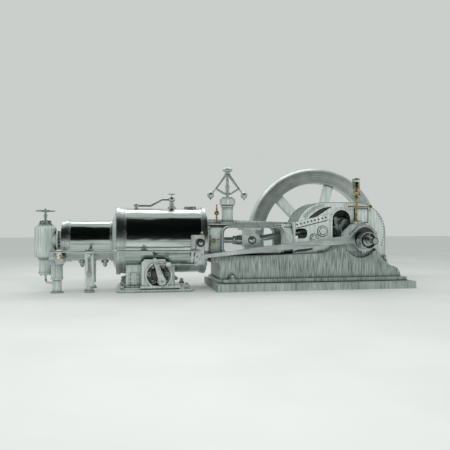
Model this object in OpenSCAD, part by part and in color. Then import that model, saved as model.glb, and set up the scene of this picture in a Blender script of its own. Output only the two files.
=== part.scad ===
// Horizontal steam engine with two cylinders in line, on its foundation block.
// X runs along the engine, with the crankshaft at X 0 and the cylinders towards -X.
// Y runs along the crankshaft, with the flywheel towards +Y, and Z 0 is the ground.

/* [Engine axis] */
// Height of the shaft and cylinder axis above the ground
axis_z = 705; // [690:1:760]
// Stroke of the pistons
stroke = 500; // [440:1:540]
// Length of the connecting rod between its pins
rod_len = 1500; // [1420:1:1560]
// Angle of the crank at rest, from the +X direction
crank_deg = 114; // [95:1:135]

/* [Foundation and bed] */
// Height of the foundation block
plinth_h = 104; // [80:1:130]
// Width of the foundation block
plinth_w = 1300; // [1200:10:1500]
// Margin of the foundation block beyond the bed flange at the cylinder end
plinth_lead = 32; // [20:1:80]
// Margin of the foundation block beyond the bed flange at the toe
plinth_tail = 81; // [40:1:120]
// Thickness of the bed's holding-down flange
flange_h = 56; // [40:1:70]
// Width of the bed's holding-down flange
flange_w = 1040; // [960:1:1120]
// Reach of the flange beyond the bed's leg at the cylinder end
flange_lead = 40; // [30:1:60]
// Reach of the flange beyond the bed's toe
flange_tail = 59; // [40:1:80]
// Width of the bed body
bed_w = 880; // [840:1:900]
// Distance from the shaft to the bed's leg at the cylinder end
bed_back = 2120; // [2080:1:2160]
// Distance from the shaft to the far toe of the bed
bed_toe = 636; // [620:1:680]
// Height of the bed's top at the cylinder end
bed_top = 472; // [450:1:490]
// Height of the shoulders that flank the shaft
hump_z = 663; // [640:1:680]
// Thickness of the arm that the bed reaches out under the guide
bed_arm_t = 72; // [60:1:90]
// Reach of that arm beyond the bed's leg
bed_arm_reach = 135; // [100:1:160]
// Radius of the hollow that leads up to the shoulders
hump_fillet_r = 380; // [360:1:400]
// Distance from the shaft to the near edge of the shoulders
hump_front = 329; // [320:1:340]
// Radius of the hollow slope that runs down to the toe
slope_r = 436; // [430:1:440]
// Radius of the round toe
toe_r = 148; // [144:1:152]
// Height of the bearing seats
seat_z = 545; // [530:1:560]
// Width of the crank pit
pit_w = 380; // [340:1:400]
// Radius of the crank pit under the shaft
pit_r = 430; // [400:1:450]
// Radius of the hollow in the bed's side round the eccentric
scoop_r = 262; // [258:1:280]
// Depth of that hollow
scoop_y = 55; // [40:1:60]
// Length of the trough that the big end swings into
trough_l = 500; // [490:1:520]
// Height of the bottom of the rod's trough
trough_z = 400; // [380:1:410]

/* [Crosshead guide] */
// Distance from the shaft to the guide's open end
guide_end = 952; // [930:1:980]
// Length of the guide
guide_len = 1338; // [1300:1:1380]
// Bore of the guide
guide_bore = 410; // [400:1:420]
// Wall of the guide
guide_wall = 35; // [28:1:45]
// Length of the windows in the guide's sides
window_l = 878; // [820:1:900]
// Height of the windows in the guide's sides
window_h = 362; // [340:1:366]
// Width of the moulded rim round each window
window_rim = 35; // [20:1:45]
// Height of the flat deck on top of the guide
deck_z = 950; // [945:1:965]
// Width of the deck
deck_w = 300; // [260:1:330]
// Height of the rib along the deck at the cylinder end
rib_z = 1026; // [1000:1:1050]

/* [Large cylinder] */
// Outside diameter of the large cylinder's lagging
large_d = 936; // [900:1:950]
// Length of the large cylinder's lagging
large_len = 1127; // [1080:1:1180]
// Diameter of the large cylinder's end flanges
large_flange_d = 978; // [960:1:984]
// Thickness of the front cover
large_front_t = 56; // [40:1:70]
// Thickness of the rear cover
large_rear_t = 93; // [80:1:110]
// Height of the large cylinder's base plate
base_h = 38; // [25:1:60]
// Length of the base plate
base_len = 1063; // [1040:1:1100]
// Reach of the base plate beyond the rear of the large cylinder
base_tail = 88; // [70:1:110]
// Thickness of the raised tier on the base plate
tier_t = 22; // [16:1:26]
// Length of the block that carries the large cylinder
saddle_len = 210; // [190:1:225]
// Width of that block
saddle_w = 660; // [620:1:680]
// Length of the exhaust chest beside it
chest_len = 470; // [450:1:490]
// Width of the exhaust chest
chest_w = 600; // [560:1:640]

/* [Small cylinder] */
// Outside diameter of the small cylinder's lagging
small_d = 574; // [540:1:600]
// Length of the small cylinder's lagging
small_len = 601; // [560:1:650]
// Length of the cone between the cylinders
cone_len = 56; // [40:1:90]
// Thickness of the small cylinder's rear cover
small_cover_t = 90; // [70:1:100]
// Width of the legs under the small cylinder
leg_w = 118; // [100:1:130]
// Thickness of those legs
leg_t = 48; // [40:1:54]
// Radius of the slots in the legs
slot_r = 19; // [15:1:22]
// Height of the pins at the foot of the slots
slot_z = 265; // [240:1:290]
// Length of the slots
slot_len = 190; // [160:1:200]

/* [Stop valve] */
// Diameter of the stop valve's body
valve_d = 300; // [270:1:320]
// Height of the underside of the stop valve's body
valve_z0 = 465; // [450:1:480]
// Height of the stop valve's body
valve_h = 449; // [440:1:460]
// Rounding of the body's shoulders
valve_round = 40; // [30:1:50]
// Diameter of the chamber under the body
chamber_d = 176; // [160:1:190]
// Height of the underside of that chamber
chamber_z = 240; // [230:1:260]
// Diameter of the branch to the small cylinder
branch_d = 224; // [200:1:240]
// Height of the middle of the steam inlet
inlet_z = 690; // [680:1:700]
// Bore of the steam inlet
inlet_bore = 130; // [110:1:140]
// Diameter of the steam inlet's flange
inlet_flange_d = 300; // [290:1:310]
// Diameter of the inlet flange's bolt circle
inlet_pcd = 240; // [236:1:250]
// Diameter of the inlet flange's bolt holes
inlet_hole_d = 22; // [18:1:26]
// Thickness of the flanges on the stop valve
valve_flange_t = 26; // [20:1:30]
// Outside diameter of the drain pipe
drain_d = 34; // [28:1:40]
// Height of the drain pipe's lower run
drain_z = 120; // [110:1:130]
// Length of the branch between the stop valve and the small cylinder
branch_len = 240; // [225:1:260]
// Diameter of the stop valve's handwheel
handwheel_d = 265; // [230:1:300]
// Height of the stop valve's handwheel above the ground
handwheel_z = 1128; // [1100:1:1180]

/* [Running gear] */
// Diameter of the piston rod
piston_rod_d = 90; // [70:1:100]
// Diameter of the crosshead pin
xpin_d = 90; // [70:1:100]
// Diameter of the crank pin
crank_pin_d = 110; // [90:1:120]
// Diameter of the crankshaft
shaft_d = 150; // [130:1:160]
// Half the gap between the crank webs
web_gap = 70; // [66:1:75]
// Thickness of each crank web
web_t = 80; // [60:1:84]
// Length of the shaft on the flywheel side
shaft_far = 2110; // [2100:1:2200]

/* [Flywheel] */
// Outside diameter of the flywheel
wheel_d = 2554; // [2400:2:2600]
// Distance from the engine's axis to the middle of the flywheel
wheel_y = 1560; // [1520:1:1600]
// Width of the flywheel's rim
rim_w = 240; // [200:1:260]
// Depth of the flywheel's rim
rim_t = 277; // [240:1:290]
// Diameter of the flywheel's hub
hub_d = 380; // [340:1:440]
// Width of the outboard bearing
out_w = 180; // [160:1:200]
// Distance from the middle of the flywheel to the outboard bearing
out_gap = 300; // [280:1:320]
// Length of the outboard pedestal's foot
out_foot = 660; // [600:1:720]
// Angle of the first flywheel arm
arm_deg = 14; // [0:1:59]
// Width of each flywheel arm
arm_w = 188; // [160:1:200]
// Thickness of each flywheel arm
arm_t = 96; // [80:1:110]

/* [Valve gear] */
// Throw of the eccentric
ecc_throw = 45; // [40:1:47]
// Diameter of the eccentric sheave
ecc_d = 316; // [300:1:330]
// Distance from the shaft to the rocker's pivot, along X
rocker_back = 2418; // [2400:1:2430]
// Height of the rocker's pivot
rocker_z = 681; // [670:1:695]
// Drop of the rocker from its pivot to its lowest pin
rocker_drop = 291; // [280:1:300]
// Diameter of the valve rods
valve_rod_d = 26; // [22:1:30]
// Distance from the engine's axis to the back of the rocker's bracket
gear_y = 480; // [477:1:500]
// Thickness of that bracket's plate
gear_plate_t = 16; // [12:1:20]
// Thickness of the eccentric rod
ecc_rod_t = 26; // [22:1:30]
// Thickness of the rocker and of the levers
rocker_t = 22; // [18:1:26]
// Thickness of the valve rods' eyes
eye_t = 22; // [18:1:26]
// Depth of the gear stand
stand_d = 86; // [70:1:90]
// Radius of the round window in the gear stand
stand_r = 165; // [155:1:170]
// Height of the middle of that window
stand_z = 237; // [232:1:242]
// Height of the top of the gear stand
stand_top = 457; // [450:1:465]
// Width of the belt drum
drum_w = 144; // [120:1:150]
// Length of the shaft's end beyond the belt drum
shaft_stub = 211; // [180:1:240]

/* [Governor and fittings] */
// Distance from the shaft to the governor, along X
gov_back = 1938; // [1920:1:1950]
// Height of the governor's top pivot
gov_pivot_z = 1681; // [1660:1:1700]
// Length of a governor arm from its pivot to the ball's middle
gov_arm = 397; // [385:1:405]
// Angle between a governor arm and the spindle at rest
gov_deg = 40.2; // [38:0.1:42]
// Diameter of the governor balls
ball_d = 106; // [90:1:115]
// Height of the top of the crank hood
hood_z = 1275; // [1240:1:1300]
// Width of the crank hood
hood_w = 486; // [470:1:490]
// Thickness of the hood's sheet
hood_t = 8; // [6:1:10]
// Distance from the shaft to the middle of the hood's arch
arch_back = 225; // [210:1:240]
// Height of the middle of the arch
arch_z = 1015; // [1000:1:1030]
// Radius of the arch
arch_r = 145; // [135:1:150]
// Width of the arch's rim and of the post beside it
arch_rim = 33; // [24:1:36]
// Width of the riveted band along the hood
band_w = 87; // [80:1:92]
// Height of the lower edge of the band at the guide
band_z = 888; // [880:1:896]
// Length of the slot in the hood's near side that the connecting rod shows through
rod_slot_l = 187; // [170:1:200]
// Height of that slot
rod_slot_h = 150; // [140:1:155]
// Height of the slot's lower edge
rod_slot_z = 730; // [715:1:733]
// Height of the governor's column above the guide's deck
gov_column_h = 262; // [240:1:280]
// Height of the oil pipe over the near bearing
oil_pipe_z = 1210; // [1200:1:1220]
// Height of the foot of the oiler's body
oiler_z = 1352; // [1340:1:1370]

/* [Clearances] */
// Gap between seated faces that are curved
seat_gap = 0.3; // [0.2:0.1:0.5]
// Radial clearance at rods, pins and journals
run_gap = 0.4; // [0.3:0.1:0.6]
// Side clearance between moving pieces
side_gap = 6; // [5:1:8]

/* [Hidden] */
$fn = 72;
crank_r = stroke / 2;
pin_x = crank_r * cos(crank_deg);
pin_z = axis_z + crank_r * sin(crank_deg);
rod_tilt = asin((pin_z - axis_z) / rod_len);
xhead_x = pin_x - rod_len * cos(rod_tilt);

bed_z = plinth_h + flange_h;
flange_x0 = -bed_back - flange_lead;
flange_x1 = bed_toe + flange_tail;
bed_hw = bed_w / 2;
hump_x = -hump_front;
dip_run = 0.8 * hump_fillet_r;
dip_x = hump_x - dip_run;
dip_z = hump_z - hump_fillet_r + sqrt(pow(hump_fillet_r, 2) - pow(dip_run, 2));
arm_z = bed_top - bed_arm_t;
arm_fillet = 50;
pit_hw = pit_w / 2;
flange_chamfer = 130;
boss_r = 48;
boss_h = 14;
boss_x = -bed_back + 160;

guide_x1 = -guide_end;
guide_x0 = guide_x1 - guide_len;
guide_r = guide_bore / 2 + guide_wall;
window_x = (guide_x0 + guide_x1) / 2 + 20;
window_face = guide_r + 18;
end_flange_t = 30;
large_band_w = 34;
stub_r = 52;

large_x1 = guide_x0 - large_front_t;
large_x0 = large_x1 - large_len;
large_r = large_d / 2;
rear_x = large_x0 - large_rear_t;
small_r = small_d / 2;
small_x1 = rear_x - cone_len;
small_x0 = small_x1 - small_len;
small_back = small_x0 - small_cover_t;
leg_x = small_x0 + 290;
leg_hw = small_r - 1;
leg_top = axis_z - 155;
valve_x = small_back - branch_len;
valve_z1 = valve_z0 + valve_h;
bonnet_z = valve_z1 + 12;
branch_z = axis_z + 10;
inlet_y = valve_d / 2 + 132;

rocker_x = -rocker_back;
rocker_lean = atan(69 / 291);
small_pin_dz = 106;
ecc_pin_dz = 198;
ecc_rod_y = gear_y + gear_plate_t + side_gap;
rocker_y = ecc_rod_y + ecc_rod_t + side_gap;
eye_y = rocker_y + rocker_t + side_gap;
rod_y = -(eye_y + eye_t / 2);
small_rod_z = rocker_z - small_pin_dz;
large_rod_z = rocker_z - rocker_drop;
small_eye_x = rocker_x - small_pin_dz * tan(rocker_lean);
ecc_eye_x = rocker_x - ecc_pin_dz * tan(rocker_lean);
ecc_eye_z = rocker_z - ecc_pin_dz;
large_eye_x = rocker_x - rocker_drop * tan(rocker_lean);
large_lever_z = 150;
large_lever_x = large_x1 - 600;
large_lever_lean = 18.3;
large_lever_pin_x = large_lever_x - (large_rod_z - large_lever_z) * tan(large_lever_lean);
small_lever_x = small_back - 90;
small_lever_z = small_rod_z - 130;

ecc_deg = 60;
ecc_x = ecc_throw * cos(ecc_deg);
ecc_z = axis_z + ecc_throw * sin(ecc_deg);
strap_y1 = ecc_rod_y + ecc_rod_t;
strap_y0 = bed_hw + 8;
strap_r = ecc_d / 2 + 47;
drum_y0 = strap_y1 + 28;
drum_y1 = drum_y0 + drum_w;
shaft_near = drum_y1 + shaft_stub;

bearing_y0 = hood_w / 2 + 7;
bearing_y1 = bed_hw - scoop_y - 2;
cap_r = 235;
stem_y = -(bearing_y0 + bearing_y1) / 2;
oiler_x = -20;

gov_x = -gov_back;
gov_ball_x = gov_arm * sin(gov_deg);
gov_ball_z = gov_pivot_z - gov_arm * cos(gov_deg);
gov_link_at = 0.68 * gov_arm;
gov_joint_x = gov_link_at * sin(gov_deg);
gov_joint_z = gov_pivot_z - gov_link_at * cos(gov_deg);
gov_link_deg = 60;
gov_link = 150;
sleeve_x = gov_joint_x - gov_link * sin(gov_link_deg);
sleeve_z = gov_joint_z - gov_link * cos(gov_link_deg);

// Points of an arc about a centre, both ends included
function arc(cx, cz, r, a0, a1, n) = [for (i = [0:n]) let (a = a0 + (a1 - a0) * i / n)
    [cx + r * cos(a), cz + r * sin(a)]];

module box(x0, x1, y0, y1, z0, z1) {
    translate([x0, y0, z0]) cube([x1 - x0, y1 - y0, z1 - z0]);
}

module cyl_x(x0, x1, r, y = 0, z = axis_z) {
    translate([x0, y, z]) rotate([0, 90, 0]) cylinder(h = x1 - x0, r = r);
}

module cyl_y(y0, y1, r, x = 0, z = axis_z) {
    translate([x, y1, z]) rotate([90, 0, 0]) cylinder(h = y1 - y0, r = r);
}

module cyl_z(z0, z1, r, x, y = 0) {
    translate([x, y, z0]) cylinder(h = z1 - z0, r = r);
}

// A flat outline in X and Z, given its thickness along Y
module plate_y(y0, y1) {
    translate([0, y1, 0]) rotate([90, 0, 0]) linear_extrude(y1 - y0) children();
}

// A flat outline in Y and Z, given its thickness along X
module plate_x(x0, x1) {
    translate([x0, 0, 0]) rotate([90, 0, 90]) linear_extrude(x1 - x0) children();
}

module round_rect(w, h, r) {
    square([w - 2 * r, h], center = true);
    square([w, h - 2 * r], center = true);
    for (sx = [-1, 1], sz = [-1, 1]) translate([sx * (w / 2 - r), sz * (h / 2 - r)]) circle(r);
}

// A strip of flat metal that narrows from one end to the other, with round ends
module taper_bar(x0, z0, r0, x1, z1, r1) {
    len = norm([x1 - x0, z1 - z0]);
    translate([x0, z0]) rotate(atan2(z1 - z0, x1 - x0)) {
        circle(r0);
        translate([len, 0]) circle(r1);
        polygon([[0, -r0], [len, -r1], [len, r1], [0, r0]]);
    }
}

module foundation_block() {
    color("darkseagreen")
        box(flange_x0 - plinth_lead, flange_x1 + plinth_tail, -plinth_w / 2, plinth_w / 2, 0, plinth_h);
}

// The side outline of the bed, with its arm over the leg and the slope of its toe
module bed_outline() {
    polygon(concat(
        [[-bed_back, bed_z], [-bed_back, arm_z - arm_fillet]],
        arc(-bed_back - arm_fillet, arm_z - arm_fillet, arm_fillet, 0, 90, 5),
        [[-bed_back - bed_arm_reach, arm_z], [-bed_back - bed_arm_reach, bed_top], [dip_x, dip_z]],
        arc(dip_x, dip_z + hump_fillet_r, hump_fillet_r, 275, 323, 7),
        [[hump_x, hump_z], [cap_r - 10, hump_z - 60], [cap_r + 23, hump_z - 120]],
        arc(bed_toe + 41, hump_z + 52, slope_r, 206, 250, 8),
        arc(bed_toe - toe_r, bed_z + 12, toe_r, 75, 0, 8),
        [[bed_toe, bed_z]]
    ));
}

module bed() {
    color("gainsboro") difference() {
        union() {
            plate_y(-bed_hw, bed_hw) bed_outline();
            translate([0, 0, plinth_h]) linear_extrude(flange_h) difference() {
                translate([flange_x0, -flange_w / 2]) square([flange_x1 - flange_x0, flange_w]);
                for (sy = [-1, 1]) translate([flange_x0, sy * flange_w / 2])
                    rotate(45) square(flange_chamfer, center = true);
            }
            for (sy = [-1, 1])
                cyl_z(bed_z - 1, bed_z + boss_h, boss_r, boss_x, sy * (bed_hw + boss_r - 10));
        }
        // The guide lies in a round saddle along the top
        cyl_x(-bed_back - 500, guide_x1 - end_flange_t, guide_r + seat_gap);
        box(guide_x1 - end_flange_t, guide_x1, -hood_w / 2, hood_w / 2, bed_top - 40, hump_z);
        // Pit for the crank, and the trough that the rod swings in
        cyl_y(-pit_hw, pit_hw, pit_r);
        box(-trough_l, 0, -pit_hw, pit_hw, axis_z - pit_r, hump_z + 200);
        box(guide_x1, 0, -pit_hw, pit_hw, trough_z, hump_z + 200);
        box(0, pit_r, -pit_hw, pit_hw, axis_z - 100, hump_z + 200);
        // Seats of the two main bearings, and the hollows outside them
        box(-cap_r, cap_r, -bed_hw - 1, bed_hw + 1, seat_z, hump_z + 300);
        for (sy = [-1, 1]) translate([0, sy * (bed_hw + 500 - scoop_y), 0])
            cyl_y(-500, 500, scoop_r);
    }
}

module guide_window(y0, y1, grow) {
    plate_y(y0, y1) translate([window_x, axis_z])
        round_rect(window_l + 2 * grow, window_h + 2 * grow, 80 + grow);
}

module crosshead_guide() {
    color("gainsboro") difference() {
        union() {
            cyl_x(guide_x0, guide_x1, guide_r);
            cyl_x(guide_x0, guide_x0 + 28, guide_r + 55);
            // Square end flange that the hood stands against
            plate_x(guide_x1 - end_flange_t, guide_x1) polygon([
                [-hood_w / 2, bed_top - 40], [hood_w / 2, bed_top - 40],
                [hood_w / 2, deck_z + 26], [-hood_w / 2, deck_z + 26]]);
            // Rims of the windows, and a round band near the open end, both above the bed
            intersection() {
                union() {
                    guide_window(-window_face, window_face, window_rim);
                    cyl_x(guide_x1 - 190, guide_x1 - 150, guide_r + 14);
                }
                box(guide_x0, guide_x1, -window_face, window_face, dip_z + 1, deck_z);
            }
            // Deck and the rib along its far edge
            box(guide_x0, guide_x1, -deck_w / 2, deck_w / 2, axis_z + guide_r - 40, deck_z);
            plate_y(deck_w / 2 - 30, deck_w / 2) polygon([
                [guide_x0, deck_z - 5], [guide_x1, deck_z - 5],
                [guide_x1, deck_z + 26], [guide_x0, rib_z]]);
        }
        cyl_x(guide_x0 - 1, guide_x1 + 1, guide_bore / 2);
        guide_window(-window_face - 1, window_face + 1, 0);
    }
}

module large_front_cover() {
    color("whitesmoke") difference() {
        union() {
            cyl_x(large_x1, guide_x0 - 14, large_flange_d / 2);
            cyl_x(large_x1, guide_x0, guide_r + 55);
            cyl_x(large_x1, guide_x0 + 150, 100);
            cyl_x(guide_x0 + 150, guide_x0 + 175, 82);
        }
        cyl_x(large_x1 - 1, guide_x0 + 200, piston_rod_d / 2 + run_gap);
    }
}

module large_cylinder() {
    color("darkslategray") difference() {
        cyl_x(large_x0, large_x1, large_r);
        cyl_x(large_x0 + 60, large_x1 + 1, piston_rod_d / 2 + 30);
    }
    color("whitesmoke") for (x = [large_x0, large_x1 - large_band_w]) difference() {
        cyl_x(x, x + large_band_w, large_r + 6);
        cyl_x(x - 1, x + large_band_w + 1, large_r - 1);
    }
}

module large_rear_cover() {
    color("whitesmoke") {
        cyl_x(large_x0 - large_rear_t * 0.44, large_x0, large_r + 4);
        cyl_x(rear_x, large_x0 - large_rear_t * 0.44, large_flange_d / 2 + 1);
    }
}

module distance_cone() {
    color("gainsboro") translate([small_x1, 0, axis_z]) rotate([0, 90, 0])
        cylinder(h = cone_len, r1 = small_r + 12, r2 = large_r - 18);
}

module small_cylinder() {
    color("darkslategray") cyl_x(small_x0, small_x1, small_r);
    color("whitesmoke") for (x = [small_x0, small_x1 - 26]) difference() {
        cyl_x(x, x + 26, small_r + 5);
        cyl_x(x - 1, x + 27, small_r - 1);
    }
    color("gainsboro") for (x = [leg_x - leg_w / 2 - stub_r - 5, small_x1 - 110]) difference() {
        cyl_z(axis_z - small_r - 26, axis_z, stub_r, x);
        cyl_x(small_x0, small_x1, small_r - 1);
    }
}

module small_rear_cover() {
    color("whitesmoke") {
        cyl_x(small_x0 - small_cover_t / 2, small_x0, small_r + 8);
        cyl_x(small_back, small_x0 - small_cover_t / 2, small_r - 6);
    }
}

// Body of the stop valve, with its branch to the small cylinder and its far inlet
module stop_valve_body() {
    r = valve_d / 2;
    color("gainsboro") difference() {
        union() {
            translate([valve_x, 0, 0]) rotate_extrude() {
                translate([0, valve_z0 + valve_round]) square([r, valve_h - 2 * valve_round]);
                translate([0, valve_z0]) square([r - valve_round, valve_h]);
                intersection() {
                    for (z = [valve_z0 + valve_round, valve_z1 - valve_round])
                        translate([r - valve_round, z]) circle(valve_round);
                    square([r, valve_z1]);
                }
                translate([0, valve_z1 - 1]) square([r - 34, bonnet_z - valve_z1 + 1]);
                translate([0, valve_z0 - 13]) square([chamber_d / 2 + 14, 14]);
                translate([0, chamber_z]) square([chamber_d / 2, valve_z0 - chamber_z - 5]);
                translate([0, chamber_z]) square([chamber_d / 2 + 8, valve_flange_t]);
            }
            cyl_x(valve_x, small_back - valve_flange_t, branch_d / 2, z = branch_z);
            cyl_x(small_back - valve_flange_t, small_back, branch_d / 2 + 40, z = branch_z);
            cyl_x(small_back - 84, small_back - 62, branch_d / 2 + 26, z = branch_z);
            cyl_y(0, inlet_y - 2, inlet_bore / 2 + 23, x = valve_x, z = inlet_z);
            cyl_y(inlet_y - valve_flange_t, inlet_y, inlet_flange_d / 2, x = valve_x, z = inlet_z);
        }
        cyl_y(inlet_y - 112, inlet_y + 1, inlet_bore / 2, x = valve_x, z = inlet_z);
        for (i = [0:7]) cyl_y(inlet_y - valve_flange_t - 6, inlet_y + 1, inlet_hole_d / 2,
            x = valve_x + inlet_pcd / 2 * cos(i * 45 + 22.5),
            z = inlet_z + inlet_pcd / 2 * sin(i * 45 + 22.5));
    }
}

module stop_valve_bonnet() {
    color("whitesmoke") difference() {
        union() {
            cyl_z(bonnet_z, bonnet_z + 18, 96, valve_x);
            cyl_z(bonnet_z + 18, bonnet_z + 46, 62, valve_x);
            cyl_z(bonnet_z + 46, bonnet_z + 74, 40, valve_x);
            for (s = [-1, 1]) {
                cyl_z(bonnet_z + 18, bonnet_z + 36, 17, valve_x + s * 60);
                translate([valve_x + s * 60, 0, bonnet_z + 49]) sphere(22);
            }
        }
        cyl_z(bonnet_z + 17, bonnet_z + 75, valve_stem_r + run_gap, valve_x);
    }
}

valve_stem_r = 15;

module stop_valve_handwheel() {
    rim = 12;
    gland_z = bonnet_z + 104;
    color("whitesmoke") {
        cyl_z(bonnet_z + 18.5, handwheel_z + 20, valve_stem_r, valve_x);
        cyl_z(gland_z, gland_z + 32, 24, valve_x);
        cyl_z(gland_z + 32, gland_z + 46, 31, valve_x);
        cyl_z(handwheel_z - 20, handwheel_z + 16, 30, valve_x);
        translate([valve_x, 0, handwheel_z]) {
            rotate_extrude() translate([handwheel_d / 2 - rim, 0]) circle(rim);
            for (i = [0:4]) rotate([0, 90, i * 72 + 20]) cylinder(h = handwheel_d / 2 - rim, r = 8);
        }
        translate([valve_x, 0, handwheel_z + 20]) sphere(17);
    }
}

pot_x = valve_x + 187;
pot_y = -250;
pot_waist_r = 62;
pot_r = 78;

// Bent drain pipe from the stop valve to the pot
module drain_pipe() {
    r = drain_d / 2;
    bend = 60;
    len = norm([pot_x - valve_x, pot_y]) - pot_waist_r - 1;
    color("whitesmoke") translate([valve_x, 0, 0]) rotate(atan2(pot_y, pot_x - valve_x)) {
        cyl_z(drain_z + bend, chamber_z, r, 0);
        cyl_z(chamber_z - 18, chamber_z, r + 13, 0);
        translate([bend, 0, drain_z + bend]) rotate([90, 0, 0])
            rotate_extrude(angle = 90, start = 180) translate([bend, 0]) circle(r);
        cyl_x(bend, len, r, z = drain_z);
        cyl_x(len - 19, len, r + 11, z = drain_z);
    }
}

module drain_pot() {
    color("gainsboro") translate([pot_x, pot_y, 0]) {
        cylinder(h = 16, r = 92);
        cylinder(h = 190, r = pot_waist_r);
        translate([0, 0, 182]) cylinder(h = 26, r = pot_r + 6);
        translate([0, 0, 200]) cylinder(h = 186, r = pot_r);
        translate([0, 0, 380]) cylinder(h = 25, r = 90);
        translate([0, 0, 400]) cylinder(h = 22, r = 40);
    }
}

// Two slotted legs and the saddle that the small cylinder lies in
module small_cylinder_legs() {
    color("gainsboro") {
        for (sy = [-1, 1]) {
            y = sy * leg_hw;
            difference() {
                plate_y(y - leg_t / 2, y + leg_t / 2) {
                    translate([leg_x, (leg_top + 110) / 2]) round_rect(leg_w, leg_top - 110, 12);
                    translate([leg_x, 100]) square([leg_w, 40], center = true);
                }
                plate_y(y - leg_t / 2 - 1, y + leg_t / 2 + 1) {
                    translate([leg_x, slot_z]) circle(slot_r);
                    translate([leg_x - slot_r, slot_z]) square([2 * slot_r, slot_len]);
                    translate([leg_x, slot_z + slot_len]) circle(slot_r);
                }
                cyl_x(small_x0 - 1, small_x1 + 1, small_r + seat_gap);
            }
            cyl_y(y - 40, y + 40, slot_r, x = leg_x, z = slot_z);
            cyl_z(22, 84, 32, leg_x, y);
            cyl_z(0, 22, 70, leg_x, y);
        }
        difference() {
            plate_x(leg_x - leg_w / 2, leg_x + leg_w / 2) intersection() {
                translate([0, axis_z]) circle(small_r + 42);
                translate([-leg_hw - leg_t / 2, leg_top - 178])
                    square([2 * leg_hw + leg_t, 178]);
            }
            cyl_x(small_x0 - 1, small_x1 + 1, small_r + seat_gap);
        }
    }
}

base_x0 = large_x0 - base_tail;
base_x1 = base_x0 + base_len;
base_hw = gear_y + 6;

module large_base_plate() {
    w = base_x1 - base_x0;
    color("whitesmoke") {
        translate([(base_x0 + base_x1) / 2, 0, 0]) linear_extrude(base_h)
            round_rect(w, 2 * base_hw, 90);
        translate([(base_x0 + base_x1) / 2 - 70, 0, base_h]) linear_extrude(tier_t)
            round_rect(w - 260, 2 * base_hw - 40, 70);
        for (x = [base_x0 + 75, base_x1 - 90], sy = [-1, 1])
            cyl_z(base_h, base_h + 16, 42, x, sy * (base_hw - 80));
    }
}

tier_z = base_h + tier_t;
saddle_x0 = large_x0 + large_band_w + 3;
saddle_x1 = saddle_x0 + saddle_len;

// Block that carries the large cylinder, with the exhaust chest beside it
module large_saddle_block() {
    color("gainsboro") difference() {
        union() {
            box(saddle_x0, saddle_x1, -saddle_w / 2, saddle_w / 2, tier_z, axis_z - 300);
            box(saddle_x0 - 20, saddle_x1 + 20, -saddle_w / 2 - 20, saddle_w / 2 + 20,
                tier_z, tier_z + 26);
            box(saddle_x1, saddle_x1 + chest_len, -chest_w / 2, chest_w / 2, tier_z, axis_z - 330);
            for (sy = [-1, 1])
                cyl_x(saddle_x0 - 16, saddle_x0, 34, sy * (saddle_w / 2 - 100), tier_z + 90);
        }
        cyl_x(large_x0 - 20, large_x1, large_r + seat_gap);
    }
}

stand_x = large_x0 + 482;
stand_y = -base_hw + stand_d;
stand_foot = stand_x - 230;

// Stand of the large cylinder's valve gear, with its round window
module valve_gear_stand() {
    color("whitesmoke") difference() {
        union() {
            plate_y(-base_hw + 14, stand_y) difference() {
                polygon([[stand_foot, tier_z], [stand_x + 200, tier_z],
                    [stand_x + 185, stand_top - 127], [stand_x + 120, stand_top - 57],
                    [stand_x + 80, stand_top], [stand_x - 190, stand_top],
                    [stand_foot - 5, stand_top - 47], [stand_foot - 5, tier_z + 70]]);
                translate([stand_x, stand_z]) circle(stand_r);
            }
            plate_y(-base_hw, stand_y) intersection() {
                difference() {
                    translate([stand_x, stand_z]) circle(stand_r + 23);
                    translate([stand_x, stand_z]) circle(stand_r);
                }
                translate([stand_foot, tier_z]) square(500);
            }
            box(stand_foot - 20, stand_x + 290, -base_hw, stand_y, tier_z, tier_z + 30);
            // Cross web behind the lever's pivot
            plate_y(-base_hw + 14, stand_y) translate([large_lever_x, large_lever_z]) circle(62);
            cyl_y(-rocker_y, stand_y, 26, x = large_lever_x, z = large_lever_z);
            cyl_y(-eye_y, stand_y, 16, x = large_lever_x, z = large_lever_z);
            // Guide of the lower valve rod
            box(stand_x + 100, stand_x + 150, rod_y - 24, stand_y - 4, large_rod_z - 24, large_rod_z + 24);
            cyl_x(stand_x + 92, stand_x + 158, 30, rod_y, large_rod_z);
        }
        cyl_x(stand_x + 60, stand_x + 190, valve_rod_d / 2 + run_gap, rod_y, large_rod_z);
    }
}

// Bracket on the large cylinder's side with the rocker's fixed pivot
module rocker_bracket() {
    color("whitesmoke") difference() {
        union() {
            plate_y(-gear_y - gear_plate_t, -gear_y) difference() {
                translate([rocker_x - 125, large_rod_z - 12])
                    square([183, rocker_drop + 121]);
                translate([rocker_x - 40, ecc_eye_z + 17]) round_rect(104, 110, 30);
            }
            for (z = [axis_z - 35, axis_z + 55])
                box(rocker_x - 100, rocker_x + 30, -gear_y, -400, z - 30, z + 20);
            cyl_y(-ecc_rod_y, -gear_y, 40, rocker_x, rocker_z);
            cyl_y(-eye_y - 8, -gear_y, 20, rocker_x, rocker_z);
        }
        cyl_x(large_x0, large_x1 - 36, large_r + seat_gap);
    }
}

// Arm that reaches out to the long valve rod, with the eye that guides it
module rod_guide(x, back_y, z) {
    box(x - 16, x + 16, rod_y - 10, back_y, z - 20, z + 20);
    cyl_x(x - 34, x + 34, 28, rod_y, small_rod_z);
}

module rod_guide_large() {
    x = large_x0 + 283;
    color("whitesmoke") difference() {
        union() {
            rod_guide(x, -380, small_rod_z);
            plate_y(-480, -380) translate([x, small_rod_z]) round_rect(90, 90, 20);
        }
        cyl_x(large_x0, large_x1, large_r + seat_gap);
        cyl_x(x - 40, x + 40, valve_rod_d / 2 + run_gap, rod_y, small_rod_z);
    }
}

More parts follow.
